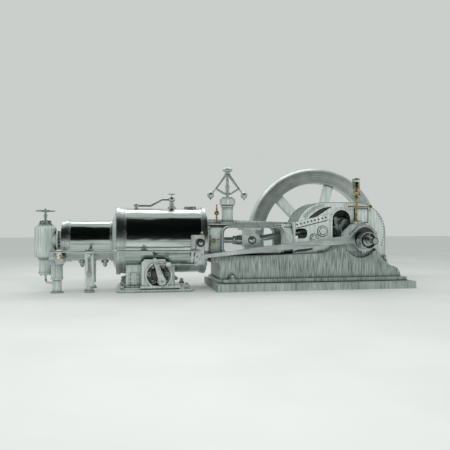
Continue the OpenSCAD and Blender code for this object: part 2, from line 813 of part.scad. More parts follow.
module rod_guide_small() {
    x = leg_x + 14;
    color("whitesmoke") difference() {
        rod_guide(x, -leg_hw - leg_t / 2, 530);
        cyl_x(x - 40, x + 40, valve_rod_d / 2 + run_gap, rod_y, small_rod_z);
    }
}

// Bracket at the small cylinder's rear with the fixed pivot of its valve lever
module small_gear_bracket() {
    color("whitesmoke") difference() {
        union() {
            box(small_back - 120, small_back + 60, -ecc_rod_y - 20, -ecc_rod_y,
                small_lever_z - 34, small_lever_z + 34);
            box(small_back + 6, small_back + 60, -ecc_rod_y, -170, small_lever_z - 34, small_lever_z + 34);
            cyl_y(-rocker_y + 1, -ecc_rod_y, 26, small_lever_x, small_lever_z);
            cyl_y(-eye_y, -ecc_rod_y, 14, small_lever_x, small_lever_z);
        }
        cyl_x(small_back - 200, small_x0 + 100, small_r + 8 + seat_gap);
    }
}

// Rocker that takes the eccentric's motion to both valve rods
module rocker() {
    color("whitesmoke") difference() {
        union() {
            plate_y(-rocker_y - rocker_t, -rocker_y) {
                taper_bar(rocker_x, rocker_z, 52, large_eye_x, large_rod_z, 26);
                translate([small_eye_x, small_rod_z]) circle(34);
                translate([ecc_eye_x, ecc_eye_z]) circle(32);
            }
        }
        cyl_y(-eye_y, 0, 20 + run_gap, rocker_x, rocker_z);
    }
}

module rod_eye(x, z, r) {
    cyl_y(-eye_y - eye_t, -eye_y, r, x, z);
    cyl_y(-eye_y - eye_t - 8, -eye_y - eye_t, r * 0.55, x, z);
}

module small_valve_rod() {
    color("whitesmoke") {
        cyl_x(small_lever_x + 14, small_eye_x - 14, valve_rod_d / 2, rod_y, small_rod_z);
        rod_eye(small_eye_x, small_rod_z, 24);
        rod_eye(small_lever_x, small_rod_z, 24);
    }
}

module large_valve_rod() {
    color("whitesmoke") {
        cyl_x(large_lever_pin_x + 14, large_eye_x - 14, valve_rod_d / 2, rod_y, large_rod_z);
        rod_eye(large_eye_x, large_rod_z, 24);
        rod_eye(large_lever_pin_x, large_rod_z, 24);
    }
}

module large_gear_lever() {
    color("whitesmoke") plate_y(-rocker_y - rocker_t, -rocker_y) difference() {
        taper_bar(large_lever_x, large_lever_z, 46,
            large_lever_x - 308 * tan(large_lever_lean), large_lever_z + 308, 24);
        translate([large_lever_x, large_lever_z]) circle(16 + run_gap);
    }
}

module small_gear_lever() {
    color("whitesmoke") plate_y(-rocker_y - rocker_t, -rocker_y) difference() {
        union() {
            taper_bar(small_lever_x, small_lever_z, 32, small_lever_x, small_rod_z, 22);
            taper_bar(small_lever_x, small_lever_z, 32, small_lever_x + 40, small_lever_z - 70, 14);
        }
        translate([small_lever_x, small_lever_z]) circle(14 + run_gap);
    }
}

relief_x0 = large_x0 + 187;
relief_x1 = relief_x0 + 513;
relief_z0 = 1213;
relief_z1 = 1302;

// Stub flange, bent pipe and cock on top of the large cylinder
module relief_pipe() {
    r = 17;
    color("whitesmoke") difference() {
        union() {
            cyl_z(axis_z + 400, relief_z0 + 24, 26, relief_x0);
            cyl_z(relief_z0 - 6, relief_z0 + 16, 44, relief_x0);
            cyl_x(relief_x0, relief_x0 + 205, r, z = relief_z0);
            translate([relief_x0 + 205, 0, relief_z0]) sphere(r);
            translate([relief_x0 + 205, 0, relief_z0]) rotate([0, 90 - atan2(relief_z1 - relief_z0, 172), 0])
                cylinder(h = norm([172, relief_z1 - relief_z0]), r = r);
            translate([relief_x0 + 377, 0, relief_z1]) sphere(r);
            cyl_x(relief_x0 + 377, relief_x1, r, z = relief_z1);
            cyl_z(axis_z + 400, relief_z1 + 14, 36, relief_x1);
            cyl_z(axis_z + 400, axis_z + large_r + 22, 60, relief_x1);
            translate([relief_x1, 0, relief_z1 + 4]) sphere(48);
        }
        cyl_x(large_x0, large_x1, large_r + seat_gap);
        cyl_z(relief_z1 + 20, relief_z1 + 80, 9 + run_gap, relief_x1);
    }
}

module relief_wheel() {
    z = relief_z1 + 84;
    color("whitesmoke") {
        cyl_z(relief_z1 + 20.5, z, 9, relief_x1);
        translate([relief_x1, 0, z]) {
            rotate_extrude() translate([52, 0]) circle(8);
            cylinder(h = 18, r = 14, center = true);
            for (i = [0:3]) rotate([0, 90, i * 90 + 30]) cylinder(h = 52, r = 5);
        }
    }
}

// Round inspection cover on top of the large cylinder
module top_cover() {
    x = large_x1 - 156;
    color("whitesmoke") difference() {
        union() {
            cyl_z(axis_z + large_r - 60, axis_z + large_r + 12, 95, x);
            cyl_z(axis_z + large_r + 12, axis_z + large_r + 28, 62, x);
        }
        cyl_x(x - 200, x + 120, large_r + seat_gap, $fn = 288);
    }
}

// Pedestal, cap and cap bolts of a main bearing
module main_bearing(y0, y1) {
    color("gainsboro") difference() {
        union() {
            plate_y(y0, y1) {
                translate([0, axis_z]) rotate(22.5) circle(cap_r / cos(22.5), $fn = 8);
                translate([-cap_r + 4, seat_z]) square([2 * cap_r - 8, axis_z - seat_z]);
            }
            cyl_y(y0 - 4, y1 + 4, 118);
            plate_y(y0 + 18, y1 - 18) {
                translate([-62, axis_z + cap_r - 1]) square([124, 42]);
            }
        }
        plate_y(y0 - 5, y1 + 5) translate([-400, 0]) square([800, seat_z]);
        cyl_y(y0 - 5, y1 + 5, shaft_d / 2 + run_gap);
    }
}

module main_bearing_near() {
    main_bearing(-bearing_y1, -bearing_y0);
}

module main_bearing_far() {
    main_bearing(bearing_y0, bearing_y1);
}

out_y0 = wheel_y + out_gap;
out_y1 = out_y0 + out_w;
out_r = shaft_d;

// Pedestal that carries the shaft beyond the flywheel
module outboard_pedestal() {
    color("gainsboro") difference() {
        union() {
            box(-out_foot / 2, out_foot / 2, out_y0 - 60, out_y1 + 60, 0, 40);
            plate_y(out_y0 + 20, out_y1 - 20) polygon([
                [-out_foot / 2 + 100, 40], [out_foot / 2 - 100, 40], [out_r, axis_z - 60],
                [out_r, axis_z], [-out_r, axis_z], [-out_r, axis_z - 60]]);
            cyl_y(out_y0, out_y1, out_r);
            box(-out_r - 20, out_r + 20, out_y0 + 30, out_y1 - 30, axis_z - 30, axis_z + 30);
            for (sx = [-1, 1]) box(sx * 100 - 12, sx * 100 + 12, out_y0 - 40, out_y1 + 40, 40, 220);
        }
        cyl_y(out_y0 - 100, out_y1 + 100, shaft_d / 2 + run_gap);
    }
}

// A crank web with its balance weight opposite the pin
module crank_web(y0, y1) {
    plate_y(y0, y1) translate([0, axis_z]) rotate(crank_deg) {
        circle(115);
        translate([crank_r, 0]) circle(95);
        polygon([[0, -115], [crank_r, -95], [crank_r, 95], [0, 115]]);
        intersection() {
            circle(330);
            polygon([[0, -115], [-400, -290], [-400, 290], [0, 115]]);
        }
    }
}

module crank_near() {
    color("silver") {
        crank_web(-web_gap - web_t, -web_gap);
        cyl_y(-drum_y1 + 20, -web_gap, shaft_d / 2);
        cyl_y(-bearing_y0 + 8, -web_gap, shaft_d / 2 + 22);
        cyl_y(-shaft_near, -drum_y1, 39);
        cyl_y(-drum_y1 - 58, -drum_y1 + 20, 55);
    }
}

module crank_far() {
    color("silver") {
        crank_web(web_gap, web_gap + web_t);
        cyl_y(web_gap, shaft_far, shaft_d / 2);
        cyl_y(web_gap, bearing_y0 - 8, shaft_d / 2 + 22);
    }
}

wheel_r = wheel_d / 2;
crown_r = 129;

module flywheel_rim() {
    color("whitesmoke") translate([0, wheel_y, axis_z]) rotate([90, 0, 0]) rotate_extrude($fn = 144) {
        translate([wheel_r - rim_t, -rim_w / 2 + 14]) square([40, rim_w - 28]);
        translate([wheel_r - rim_t + 16, -rim_w / 2]) square([rim_t - crown_r - 16, rim_w]);
        intersection() {
            translate([wheel_r - crown_r, 0]) circle(crown_r);
            translate([wheel_r - crown_r - 20, -rim_w / 2]) square([crown_r + 20, rim_w]);
        }
    }
}

module flywheel_spider() {
    color("whitesmoke") translate([0, wheel_y, axis_z]) rotate([90, 0, 0]) difference() {
        union() {
            cylinder(h = 260, r = hub_d / 2, center = true);
            cylinder(h = 290, r = hub_d / 2 - 34, center = true);
            intersection() {
                cylinder(h = 400, r = wheel_r - rim_t - seat_gap, center = true, $fn = 288);
                for (i = [0:5]) rotate(arm_deg + 60 * i) translate([hub_d / 2 - 40, 0, 0])
                    rotate([90, 0, 90]) linear_extrude(wheel_r) {
                        square([arm_w - arm_t, arm_t], center = true);
                        for (s = [-1, 1]) translate([s * (arm_w - arm_t) / 2, 0])
                            circle(arm_t / 2);
                    }
            }
        }
        cylinder(h = 400, r = shaft_d / 2 + 0.1, center = true);
    }
}

module eccentric_sheave() {
    color("silver") difference() {
        cyl_y(-strap_y1 + 8, -strap_y0 - 8, ecc_d / 2, ecc_x, ecc_z);
        cyl_y(-strap_y1, -strap_y0, shaft_d / 2 + 0.1);
        for (a = [200, 240, 280]) cyl_y(-strap_y1, -strap_y0, 15,
            ecc_x + 118 * cos(a), ecc_z + 118 * sin(a));
    }
}

// Small belt drum with curved arms at the near end of the shaft
module belt_drum() {
    r = 125;
    color("whitesmoke") {
        difference() {
            cyl_y(-drum_y1, -drum_y0, r);
            cyl_y(-drum_y1 - 1, -drum_y0 + 1, r - 13);
        }
        difference() {
            union() {
                cyl_y(-drum_y1 + 28, -drum_y0 - 4, shaft_d / 2 + 14);
                plate_y(-drum_y1 + 40, -drum_y1 + 62) for (i = [0:3])
                    translate([0, axis_z]) rotate(i * 90 + 20) translate([70, 30]) difference() {
                        circle(58);
                        translate([4, 2]) circle(40);
                        translate([-80, -80]) square([160, 80]);
                    }
                cyl_y(-drum_y1 + 50, -drum_y1 + 62, r - 12);
            }
            cyl_y(-drum_y1, -drum_y0, shaft_d / 2 + 0.1);
        }
    }
}

module eccentric_strap() {
    color("whitesmoke") difference() {
        union() {
            plate_y(-strap_y1, -strap_y0) translate([ecc_x, ecc_z])
                rotate(22.5) circle(strap_r, $fn = 8);
            for (s = [-1, 1]) plate_y(-strap_y1 + 14, -strap_y0 - 14)
                translate([ecc_x, ecc_z + s * 182]) square([78, 46], center = true);
        }
        cyl_y(-strap_y1 - 1, -strap_y0 + 1, ecc_d / 2 + run_gap, ecc_x, ecc_z);
    }
}

strap_flat = strap_r * cos(22.5);

// Long flat rod from the strap to the rocker, deeper towards the strap
module eccentric_rod() {
    color("whitesmoke") {
        difference() {
            plate_y(-ecc_rod_y - ecc_rod_t, -ecc_rod_y) difference() {
                taper_bar(ecc_x - 150, ecc_z - 14, 60, ecc_eye_x, ecc_eye_z, 22);
                translate([ecc_x - strap_flat, 0]) square([600, 1400]);
            }
            cyl_y(-ecc_rod_y - ecc_rod_t - 1, -ecc_rod_y + 1, 11, ecc_eye_x, ecc_eye_z);
        }
        box(ecc_x - strap_flat - 26, ecc_x - strap_flat, -strap_y1, -strap_y0, ecc_z - 84, ecc_z + 70);
    }
}

slipper_r = guide_bore / 2 - 0.5;

// Forked crosshead with a slipper above and below
module crosshead() {
    color("silver") difference() {
        union() {
            box(xhead_x - 150, xhead_x + 90, -112, 112, axis_z - 88, axis_z + 88);
            cyl_y(-112, 112, 88 + 14, xhead_x + 30, axis_z);
            intersection() {
                cyl_x(xhead_x - 200, xhead_x + 170, slipper_r);
                union() {
                    box(xhead_x - 180, xhead_x + 150, -86, 86, axis_z - 300, axis_z - 150);
                    box(xhead_x - 180, xhead_x + 150, -86, 86, axis_z + 150, axis_z + 300);
                    box(xhead_x - 110, xhead_x + 60, -86, 86, axis_z - 160, axis_z + 160);
                }
            }
            cyl_x(xhead_x - 215, xhead_x - 140, 72);
        }
        // Slot for the small end, and the hole for its pin
        box(xhead_x - 96, xhead_x + 400, -52, 52, axis_z - 148, axis_z + 148);
        cyl_y(-200, 200, xpin_d / 2 + 0.1, xhead_x);
        cyl_x(xhead_x - 220, xhead_x - 100, piston_rod_d / 2 + 0.1);
    }
    color("gainsboro") difference() {
        union() {
            cyl_y(-124, 124, xpin_d / 2, xhead_x);
            for (sy = [-1, 1]) cyl_y(sy * 118 - 6, sy * 118 + 6, xpin_d / 2 + 16, xhead_x);
        }
        cyl_y(-130, -118, 12, xhead_x);
    }
}

module piston_rod() {
    color("silver") {
        cyl_x(large_x1 - 420, xhead_x - 100.5, piston_rod_d / 2);
        difference() {
            cyl_x(xhead_x - 240, xhead_x - 215, 62);
            cyl_x(xhead_x - 241, xhead_x - 214, piston_rod_d / 2 - 1);
        }
    }
}

// Turns a piece that is drawn along the connecting rod's axis up to the crank pin
module on_rod() {
    translate([xhead_x, 0, axis_z]) rotate([0, -rod_tilt, 0]) children();
}

foot_x0 = rod_len - 150;
foot_x1 = rod_len - 96;
foot_hw = 142;
big_bolt_r = 17;
big_bolt_z = 118;

// Connecting rod, with its eye at the crosshead and its flat foot at the big end
module connecting_rod() {
    color("silver") on_rod() difference() {
        union() {
            cyl_y(-45, 45, xpin_d / 2 + 38, 0, 0);
            cyl_y(-45, 45, xpin_d / 2 + 24, 30, 0);
            translate([40, 0, 0]) rotate([0, 90, 0])
                cylinder(h = foot_x0 - 30, r1 = 44, r2 = 58);
            box(foot_x0, foot_x1, -58, 58, -foot_hw, foot_hw);
        }
        cyl_y(-60, 60, xpin_d / 2 + run_gap, 0, 0);
        for (s = [-1, 1])
            cyl_x(foot_x0 - 1, foot_x1 + 1, big_bolt_r + run_gap, 0, s * big_bolt_z);
    }
}

// Brasses and cap round the crank pin, with the two long bolts through the rod's foot
module big_end_bearing() {
    color("silver") on_rod() difference() {
        union() {
            box(foot_x1 + seat_gap, rod_len + 94, -58, 58, -112, 112);
            box(rod_len + 94, rod_len + 130, -58, 58, -foot_hw, foot_hw);
            for (s = [-1, 1]) {
                cyl_x(foot_x0 - 26, rod_len + 156, big_bolt_r, 0, s * big_bolt_z);
                cyl_x(rod_len + 130, rod_len + 152, 28, 0, s * big_bolt_z);
                cyl_x(foot_x0 - 22, foot_x0 - seat_gap, 28, 0, s * big_bolt_z);
            }
        }
        cyl_y(-60, 60, crank_pin_d / 2 + 0.1, rod_len, 0);
    }
}

module crank_pin() {
    reach = web_gap - 5;
    color("silver") {
        cyl_y(-reach, reach, crank_pin_d / 2, pin_x, pin_z);
        for (sy = [-1, 1]) cyl_y(min(sy * 58.2, sy * reach), max(sy * 58.2, sy * reach),
            crank_pin_d / 2 + 14, pin_x, pin_z);
    }
}

hood_r = 460;
hood_xl = guide_x1 + hood_r;
hood_xr = 30;
hood_cz = hood_z - hood_r;
hood_toe_z = 372;

// Side outline of the hood, made smaller all round by an inset
module hood_outline(inset) {
    r = hood_r - inset;
    intersection() {
        union() {
            translate([hood_xl, hood_cz]) circle(r);
            translate([hood_xr, hood_cz]) circle(r);
            translate([hood_xl, hood_cz]) square([hood_xr - hood_xl, r]);
            translate([hood_xl - r, 0]) square([hood_xr - hood_xl + 2 * r, hood_cz]);
        }
        translate([guide_x1, 300]) square([2000, 2000]);
    }
}

module hood_sheet() {
    color("gainsboro") difference() {
        plate_y(-hood_w / 2, hood_w / 2) difference() {
            hood_outline(0);
            hood_outline(hood_t);
        }
        box(guide_x1 - 1, guide_x1 + hood_r - 20, -hood_w, hood_w, 0, deck_z - 20);
        plate_y(-hood_w, hood_w) bed_outline();
        box(0, hood_xr + hood_r + 1, -hood_w, hood_w, 0, hood_toe_z);
    }
}

module hood_far_side() {
    y1 = hood_w / 2;
    color("gainsboro") difference() {
        plate_y(y1 - hood_t, y1) difference() {
            hood_outline(hood_t + 0.3);
            bed_outline();
            translate([guide_x1, 0]) square([200, deck_z - 60]);
            translate([0, axis_z]) circle(120);
            translate([-120, 0]) square([240, axis_z]);
        }
    }
}

arch_x = -arch_back;
post_x = arch_x - arch_r - arch_rim;
band_x = post_x - 44;
band_rise = 122;

// A round cover on the hood's near side, with its raised middle
module sheet_cover(x, z, r) {
    y0 = -hood_w / 2;
    cyl_y(y0 - 14, y0, r, x, z);
    cyl_y(y0 - 26, y0 - 14, 0.62 * r, x, z);
}

// Near side of the hood: a riveted band, a post, an arched opening and the rod's slot
module hood_near_side() {
    y0 = -hood_w / 2;
    color("gainsboro") plate_y(y0, y0 + hood_t) difference() {
        hood_outline(hood_t + 0.3);
        bed_outline();
        // Slot with a round end, open towards the guide
        translate([guide_x1, rod_slot_z + rod_slot_h / 2])
            round_rect(2 * rod_slot_l, rod_slot_h, 60);
        // Arched opening over the crank
        translate([arch_x, arch_z]) circle(arch_r);
        polygon([[arch_x - arch_r, 0], [arch_x - arch_r, arch_z], [arch_x + arch_r, arch_z],
            [arch_x + 2 * arch_r, 0]]);
        translate([0, axis_z]) circle(120);
    }
    color("whitesmoke") plate_y(y0 - 6, y0) {
        polygon([[guide_x1, band_z], [band_x, band_z + band_rise],
            [post_x + 3, band_z + band_rise], [post_x + 3, band_z + band_rise + band_w],
            [band_x, band_z + band_rise + band_w], [guide_x1, band_z + band_w]]);
        intersection() {
            difference() {
                translate([arch_x, arch_z]) circle(arch_r + arch_rim);
                translate([arch_x, arch_z]) circle(arch_r);
            }
            translate([post_x, arch_z]) square([2 * (arch_r + arch_rim), arch_r + arch_rim]);
        }
        difference() {
            translate([post_x, 0]) square([arch_rim, arch_z + 5]);
            bed_outline();
            translate([post_x, 0]) square([arch_rim, seat_z]);
        }
    }
    color("whitesmoke") {
        sheet_cover(post_x - 124, arch_z - 176, 75);
        sheet_cover(post_x - 257, arch_z - 280, 60);
    }
}

// Sight-feed oiler on the near bearing, with its oil pipe
module bearing_oiler() {
    cap_top = axis_z + cap_r + 41;
    color("gold") {
        cyl_z(cap_top, cap_top + 20, 40, oiler_x, stem_y);
        cyl_z(cap_top, oiler_z - 12, 18, oiler_x, stem_y);
        cyl_z(oiler_z - 22, oiler_z, 50, oiler_x, stem_y);
        cyl_z(oiler_z, oiler_z + 68, 34, oiler_x, stem_y);
        cyl_z(oiler_z + 68, oiler_z + 88, 56, oiler_x, stem_y);
        cyl_z(oiler_z + 88, oiler_z + 130, 40, oiler_x, stem_y);
        cyl_x(oiler_x - 130, oiler_x + 235, 9, stem_y, oil_pipe_z);
        cyl_x(oiler_x + 220, oiler_x + 252, 20, stem_y, oil_pipe_z);
        cyl_z(oil_pipe_z - 90, oil_pipe_z, 8, oiler_x + 225, stem_y);
        cyl_z(oil_pipe_z - 14, oil_pipe_z + 28, 26, oiler_x, stem_y);
    }
    color("lightblue") {
        cyl_z(oiler_z + 129, oiler_z + 273, 58, oiler_x, stem_y);
        cyl_z(oiler_z + 258, oiler_z + 288, 46, oiler_x, stem_y);
    }
}

// Column and round drive housing of the governor
module governor_column() {
    top = deck_z + gov_column_h;
    color("gainsboro") difference() {
        union() {
            cyl_z(deck_z, deck_z + 24, 118, gov_x);
            cyl_z(deck_z, top, 84, gov_x);
            cyl_z(top - 16, top + 2, 100, gov_x);
            cyl_z(top, top + 20, 92, gov_x);
            cyl_z(top + 20, top + 106, 116, gov_x);
            cyl_z(top + 106, top + 122, 100, gov_x);
            cyl_z(top + 122, top + 140, 78, gov_x);
        }
        cyl_z(top + 38, top + 200, spindle_r + run_gap, gov_x);
    }
}

spindle_r = 22;
// Distance from the spindle's axis to the arms' pivots
arm_pivot_x = 22;

module governor_spindle() {
    color("silver") {
        cyl_z(deck_z + gov_column_h + 38 + seat_gap, gov_pivot_z - 40, spindle_r, gov_x);
        cyl_z(gov_pivot_z - 41, gov_pivot_z + 20, 12, gov_x);
        cyl_z(gov_pivot_z + 20, gov_pivot_z + 48, 40, gov_x);
        box(gov_x - 34, gov_x + 34, -13, 13, gov_pivot_z - 26, gov_pivot_z + 24);
        for (s = [-1, 1]) cyl_y(-34, 34, 9, gov_x + s * arm_pivot_x, gov_pivot_z);
        translate([gov_x, 0, gov_pivot_z + 76]) scale([1, 1, 0.45]) sphere(78);
    }
}

// One governor arm and ball, pivoted beside the spindle
module governor_arm(s) {
    px = gov_x + s * arm_pivot_x;
    bx = gov_x + s * gov_ball_x;
    color("silver") {
        for (y = [-27, 15]) difference() {
            plate_y(y, y + 12) taper_bar(px, gov_pivot_z, 17,
                gov_x + s * gov_joint_x, gov_joint_z, 11);
            cyl_y(-60, 60, 9 + run_gap, px, gov_pivot_z);
        }
        cyl_y(-27, 27, 14, gov_x + s * gov_joint_x, gov_joint_z);
        cyl_y(-48, 48, 7, gov_x + s * gov_joint_x, gov_joint_z);
        plate_y(-7, 7) taper_bar(gov_x + s * gov_joint_x, gov_joint_z, 9, bx, gov_ball_z, 9);
        translate([bx, 0, gov_ball_z]) sphere(ball_d / 2);
    }
}

module governor_arm_left() {
    governor_arm(-1);
}

module governor_arm_right() {
    governor_arm(1);
}

// One of the links between a governor arm and the sleeve
module governor_link(s) {
    color("silver") for (y = [-44, 32]) difference() {
        plate_y(y, y + 12) taper_bar(gov_x + s * gov_joint_x, gov_joint_z, 12,
            gov_x + s * sleeve_x, sleeve_z, 12);
        cyl_y(-60, 60, 7 + run_gap, gov_x + s * gov_joint_x, gov_joint_z);
    }
}

module governor_link_left() {
    governor_link(-1);
}

module governor_link_right() {
    governor_link(1);
}

module governor_sleeve() {
    color("whitesmoke") difference() {
        union() {
            cyl_z(sleeve_z - 20, sleeve_z + 120, 31, gov_x);
            cyl_z(sleeve_z + 100, sleeve_z + 124, 38, gov_x);
            box(gov_x - sleeve_x - 12, gov_x + sleeve_x + 12, -26, 26, sleeve_z - 14, sleeve_z + 14);
        }
        cyl_z(sleeve_z - 60, sleeve_z + 200, spindle_r + run_gap, gov_x);
    }
}

module guide_lubricator() {
    x = gov_x - 163;
    color("gold") {
        cyl_z(deck_z, deck_z + 18, 26, x);
        cyl_z(deck_z + 18, deck_z + 128, 10, x);
        cyl_z(deck_z + 80, deck_z + 98, 18, x);
        translate([x, 0, deck_z + 162]) sphere(36);
        cyl_z(deck_z + 190, deck_z + 230, 16, x);
        cyl_z(deck_z + 230, deck_z + 272, 9, x);
        translate([x, 0, deck_z + 278]) sphere(12);
    }
}

foundation_block();
bed();
crosshead_guide();
large_front_cover();
large_cylinder();
large_rear_cover();
distance_cone();
small_cylinder();
small_rear_cover();
stop_valve_body();
stop_valve_bonnet();
stop_valve_handwheel();
drain_pipe();
drain_pot();
small_cylinder_legs();
large_base_plate();
large_saddle_block();
valve_gear_stand();
rocker_bracket();
rod_guide_large();
rod_guide_small();
small_gear_bracket();
rocker();
small_valve_rod();
large_valve_rod();
large_gear_lever();
small_gear_lever();
relief_pipe();
relief_wheel();
top_cover();
main_bearing_near();
main_bearing_far();
outboard_pedestal();
crank_near();
crank_far();
flywheel_rim();
flywheel_spider();
eccentric_sheave();
belt_drum();
eccentric_strap();
eccentric_rod();
crosshead();
piston_rod();
connecting_rod();
big_end_bearing();
crank_pin();
hood_sheet();
hood_far_side();
hood_near_side();
bearing_oiler();
governor_column();
governor_spindle();
governor_arm_left();
governor_arm_right();
governor_link_left();
governor_link_right();
governor_sleeve();
guide_lubricator();
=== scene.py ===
"""Finishes, fastenings and fittings of a horizontal steam engine with two cylinders in line."""
import math
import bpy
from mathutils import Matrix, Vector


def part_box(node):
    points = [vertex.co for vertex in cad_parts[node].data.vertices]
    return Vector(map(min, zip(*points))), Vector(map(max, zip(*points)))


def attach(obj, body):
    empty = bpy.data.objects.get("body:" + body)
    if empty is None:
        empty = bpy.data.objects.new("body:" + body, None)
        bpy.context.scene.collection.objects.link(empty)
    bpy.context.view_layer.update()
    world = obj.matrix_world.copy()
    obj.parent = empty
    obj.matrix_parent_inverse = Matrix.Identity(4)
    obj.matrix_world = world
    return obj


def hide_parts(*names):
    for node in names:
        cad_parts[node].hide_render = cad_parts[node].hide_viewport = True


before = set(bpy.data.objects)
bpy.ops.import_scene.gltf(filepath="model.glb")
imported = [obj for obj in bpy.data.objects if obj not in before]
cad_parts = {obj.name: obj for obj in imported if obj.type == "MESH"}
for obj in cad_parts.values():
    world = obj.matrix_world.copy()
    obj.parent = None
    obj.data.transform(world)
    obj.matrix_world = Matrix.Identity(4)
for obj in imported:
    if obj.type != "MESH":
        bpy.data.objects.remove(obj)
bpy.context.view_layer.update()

from types import SimpleNamespace

import bpy
from mathutils import Euler, Matrix, Vector

# Sizes below are in millimetres, and this turns them to metres
MM = 0.001

# Edges that turn by less than this are shaded smooth
SMOOTH_UNDER = math.radians(32)

# The way from a piece's own Z to the way that it faces on the engine
FACING = {
    "Z": (0, 0, 0), "-Z": (180, 0, 0), "X": (0, 90, 0),
    "-X": (0, -90, 0), "Y": (-90, 0, 0), "-Y": (90, 0, 0),
}


def span(node):
    """A node's lowest and highest corners and its middle, in millimetres."""
    low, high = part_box(node)
    x0, y0, z0 = (v / MM for v in low)
    x1, y1, z1 = (v / MM for v in high)
    return SimpleNamespace(
        x0=x0, x1=x1, y0=y0, y1=y1, z0=z0, z1=z1,
        x=(x0 + x1) / 2, y=(y0 + y1) / 2, z=(z0 + z1) / 2)


# Places that the pieces share, read from the parts of model.glb
lagging = span("large_cylinder")
small_lagging = span("small_cylinder")
guide = span("crosshead_guide")
bed = span("bed")
footing = span("foundation_block")
wheel = span("flywheel_rim")
hood = span("hood_sheet")
near_bearing = span("main_bearing_near")
far_bearing = span("main_bearing_far")
outboard = span("outboard_pedestal")
plate = span("large_base_plate")
stand = span("valve_gear_stand")
strap = span("eccentric_strap")
drum = span("belt_drum")
column = span("governor_column")
valve = span("stop_valve_body")
bonnet = span("stop_valve_bonnet")
pot = span("drain_pot")
bracket = span("rocker_bracket")
gear_bracket = span("small_gear_bracket")
rear_cover = span("large_rear_cover")
small_cover = span("small_rear_cover")
top_cover = span("top_cover")
legs = span("small_cylinder_legs")
saddle = span("large_saddle_block")
relief = span("relief_pipe")
relief_hub = span("relief_wheel")
AXIS_Z = lagging.z
SHAFT_X = wheel.x

# Pins of the valve gear as (x, z), and the planes that its parts lie in
XHEAD_X = -1584.2
ROCKER_PIVOT = (-2418, 681)
ROD_EYE = (-2465, 483)
LARGE_PIVOT = (-2946, 150)
SMALL_PIVOT = (-4403, 445)
EYE_R = 24
PIN_END_Y = -562
ROCKER_Y0 = -556
ROD_Y = -573
BRACKET_Y0 = -496

# Middle of the hood's round-topped opening
ARCH_X, ARCH_Z = -225, 1015


# Modelling helpers

def nothing_selected():
    bpy.ops.object.select_all(action="DESELECT")


def pick(*pieces):
    """Selects these pieces alone and makes the first of them active."""
    nothing_selected()
    for piece in pieces:
        piece.select_set(True)
    bpy.context.view_layer.objects.active = pieces[0]
    return pieces[0]


def settle(piece, name, at=(0, 0, 0), facing="Z", turn=0):
    """Turns a piece about its own Z, faces it, moves it and applies its place to its mesh."""
    pick(piece)
    piece.name = piece.data.name = name
    facing = FACING.get(facing, facing)
    way = Euler([math.radians(a) for a in facing]).to_matrix().to_4x4()
    own = Matrix.Rotation(math.radians(turn), 4, "Z")
    piece.matrix_world = Matrix.Translation(Vector(at) * MM) @ way @ own
    bpy.ops.object.transform_apply(location=True, rotation=True, scale=True)
    return piece


def first_point(x, y, z):
    """A new mesh of one point, left in edit mode."""
    nothing_selected()
    bpy.ops.mesh.primitive_plane_add(size=MM)
    bpy.ops.object.mode_set(mode="EDIT")
    bpy.ops.mesh.merge(type="CENTER")
    bpy.ops.transform.translate(value=(x * MM, y * MM, z * MM))
    return bpy.context.object


def draw_on(points):
    """Draws edges on from the selected point, through the given points."""
    for (x0, y0, z0), (x1, y1, z1) in zip(points, points[1:]):
        step = ((x1 - x0) * MM, (y1 - y0) * MM, (z1 - z0) * MM)
        bpy.ops.mesh.extrude_vertices_move(TRANSFORM_OT_translate={"value": step})


def tidy_shell():
    """Merges doubled points, turns the faces outwards and leaves edit mode."""
    bpy.ops.mesh.select_all(action="SELECT")
    bpy.ops.mesh.remove_doubles(threshold=0.02 * MM)
    bpy.ops.mesh.normals_make_consistent(inside=False)
    bpy.ops.object.mode_set(mode="OBJECT")


def turned(name, outline, at=(0, 0, 0), facing="Z", sides=48, ring=False):
    """A turned piece: an outline of (radius, distance) points, spun about its axis."""
    points = [(r, 0, d) for r, d in outline]
    if ring:
        points.append(points[0])
    piece = first_point(*points[0])
    draw_on(points)
    bpy.ops.mesh.select_all(action="SELECT")
    bpy.ops.mesh.spin(steps=sides, angle=math.tau, center=(0, 0, 0), axis=(0, 0, 1))
    tidy_shell()
    return settle(piece, name, at, facing)


def cut_plate(name, outline, thick, at, facing):
    """A flat piece cut to an outline of (x, y) points."""
    points = [(x, y, 0) for x, y in outline]
    piece = first_point(*points[0])
    draw_on(points)
    bpy.ops.mesh.select_all(action="SELECT")
    bpy.ops.mesh.edge_face_add()
    bpy.ops.mesh.extrude_region_move(TRANSFORM_OT_translate={"value": (0, 0, thick * MM)})
    tidy_shell()
    return settle(piece, name, at, facing)


def block(name, low, high, ease=3):
    """A block between two corners, with its edges eased."""
    nothing_selected()
    middle = [(a + b) / 2 * MM for a, b in zip(low, high)]
    size = [(b - a) * MM for a, b in zip(low, high)]
    bpy.ops.mesh.primitive_cube_add(size=1, location=middle, scale=size)
    piece = bpy.context.object
    bpy.ops.object.transform_apply(location=True, rotation=True, scale=True)
    bpy.ops.object.mode_set(mode="EDIT")
    bpy.ops.mesh.bevel(offset=ease * MM, segments=2, affect="EDGES")
    tidy_shell()
    return settle(piece, name)


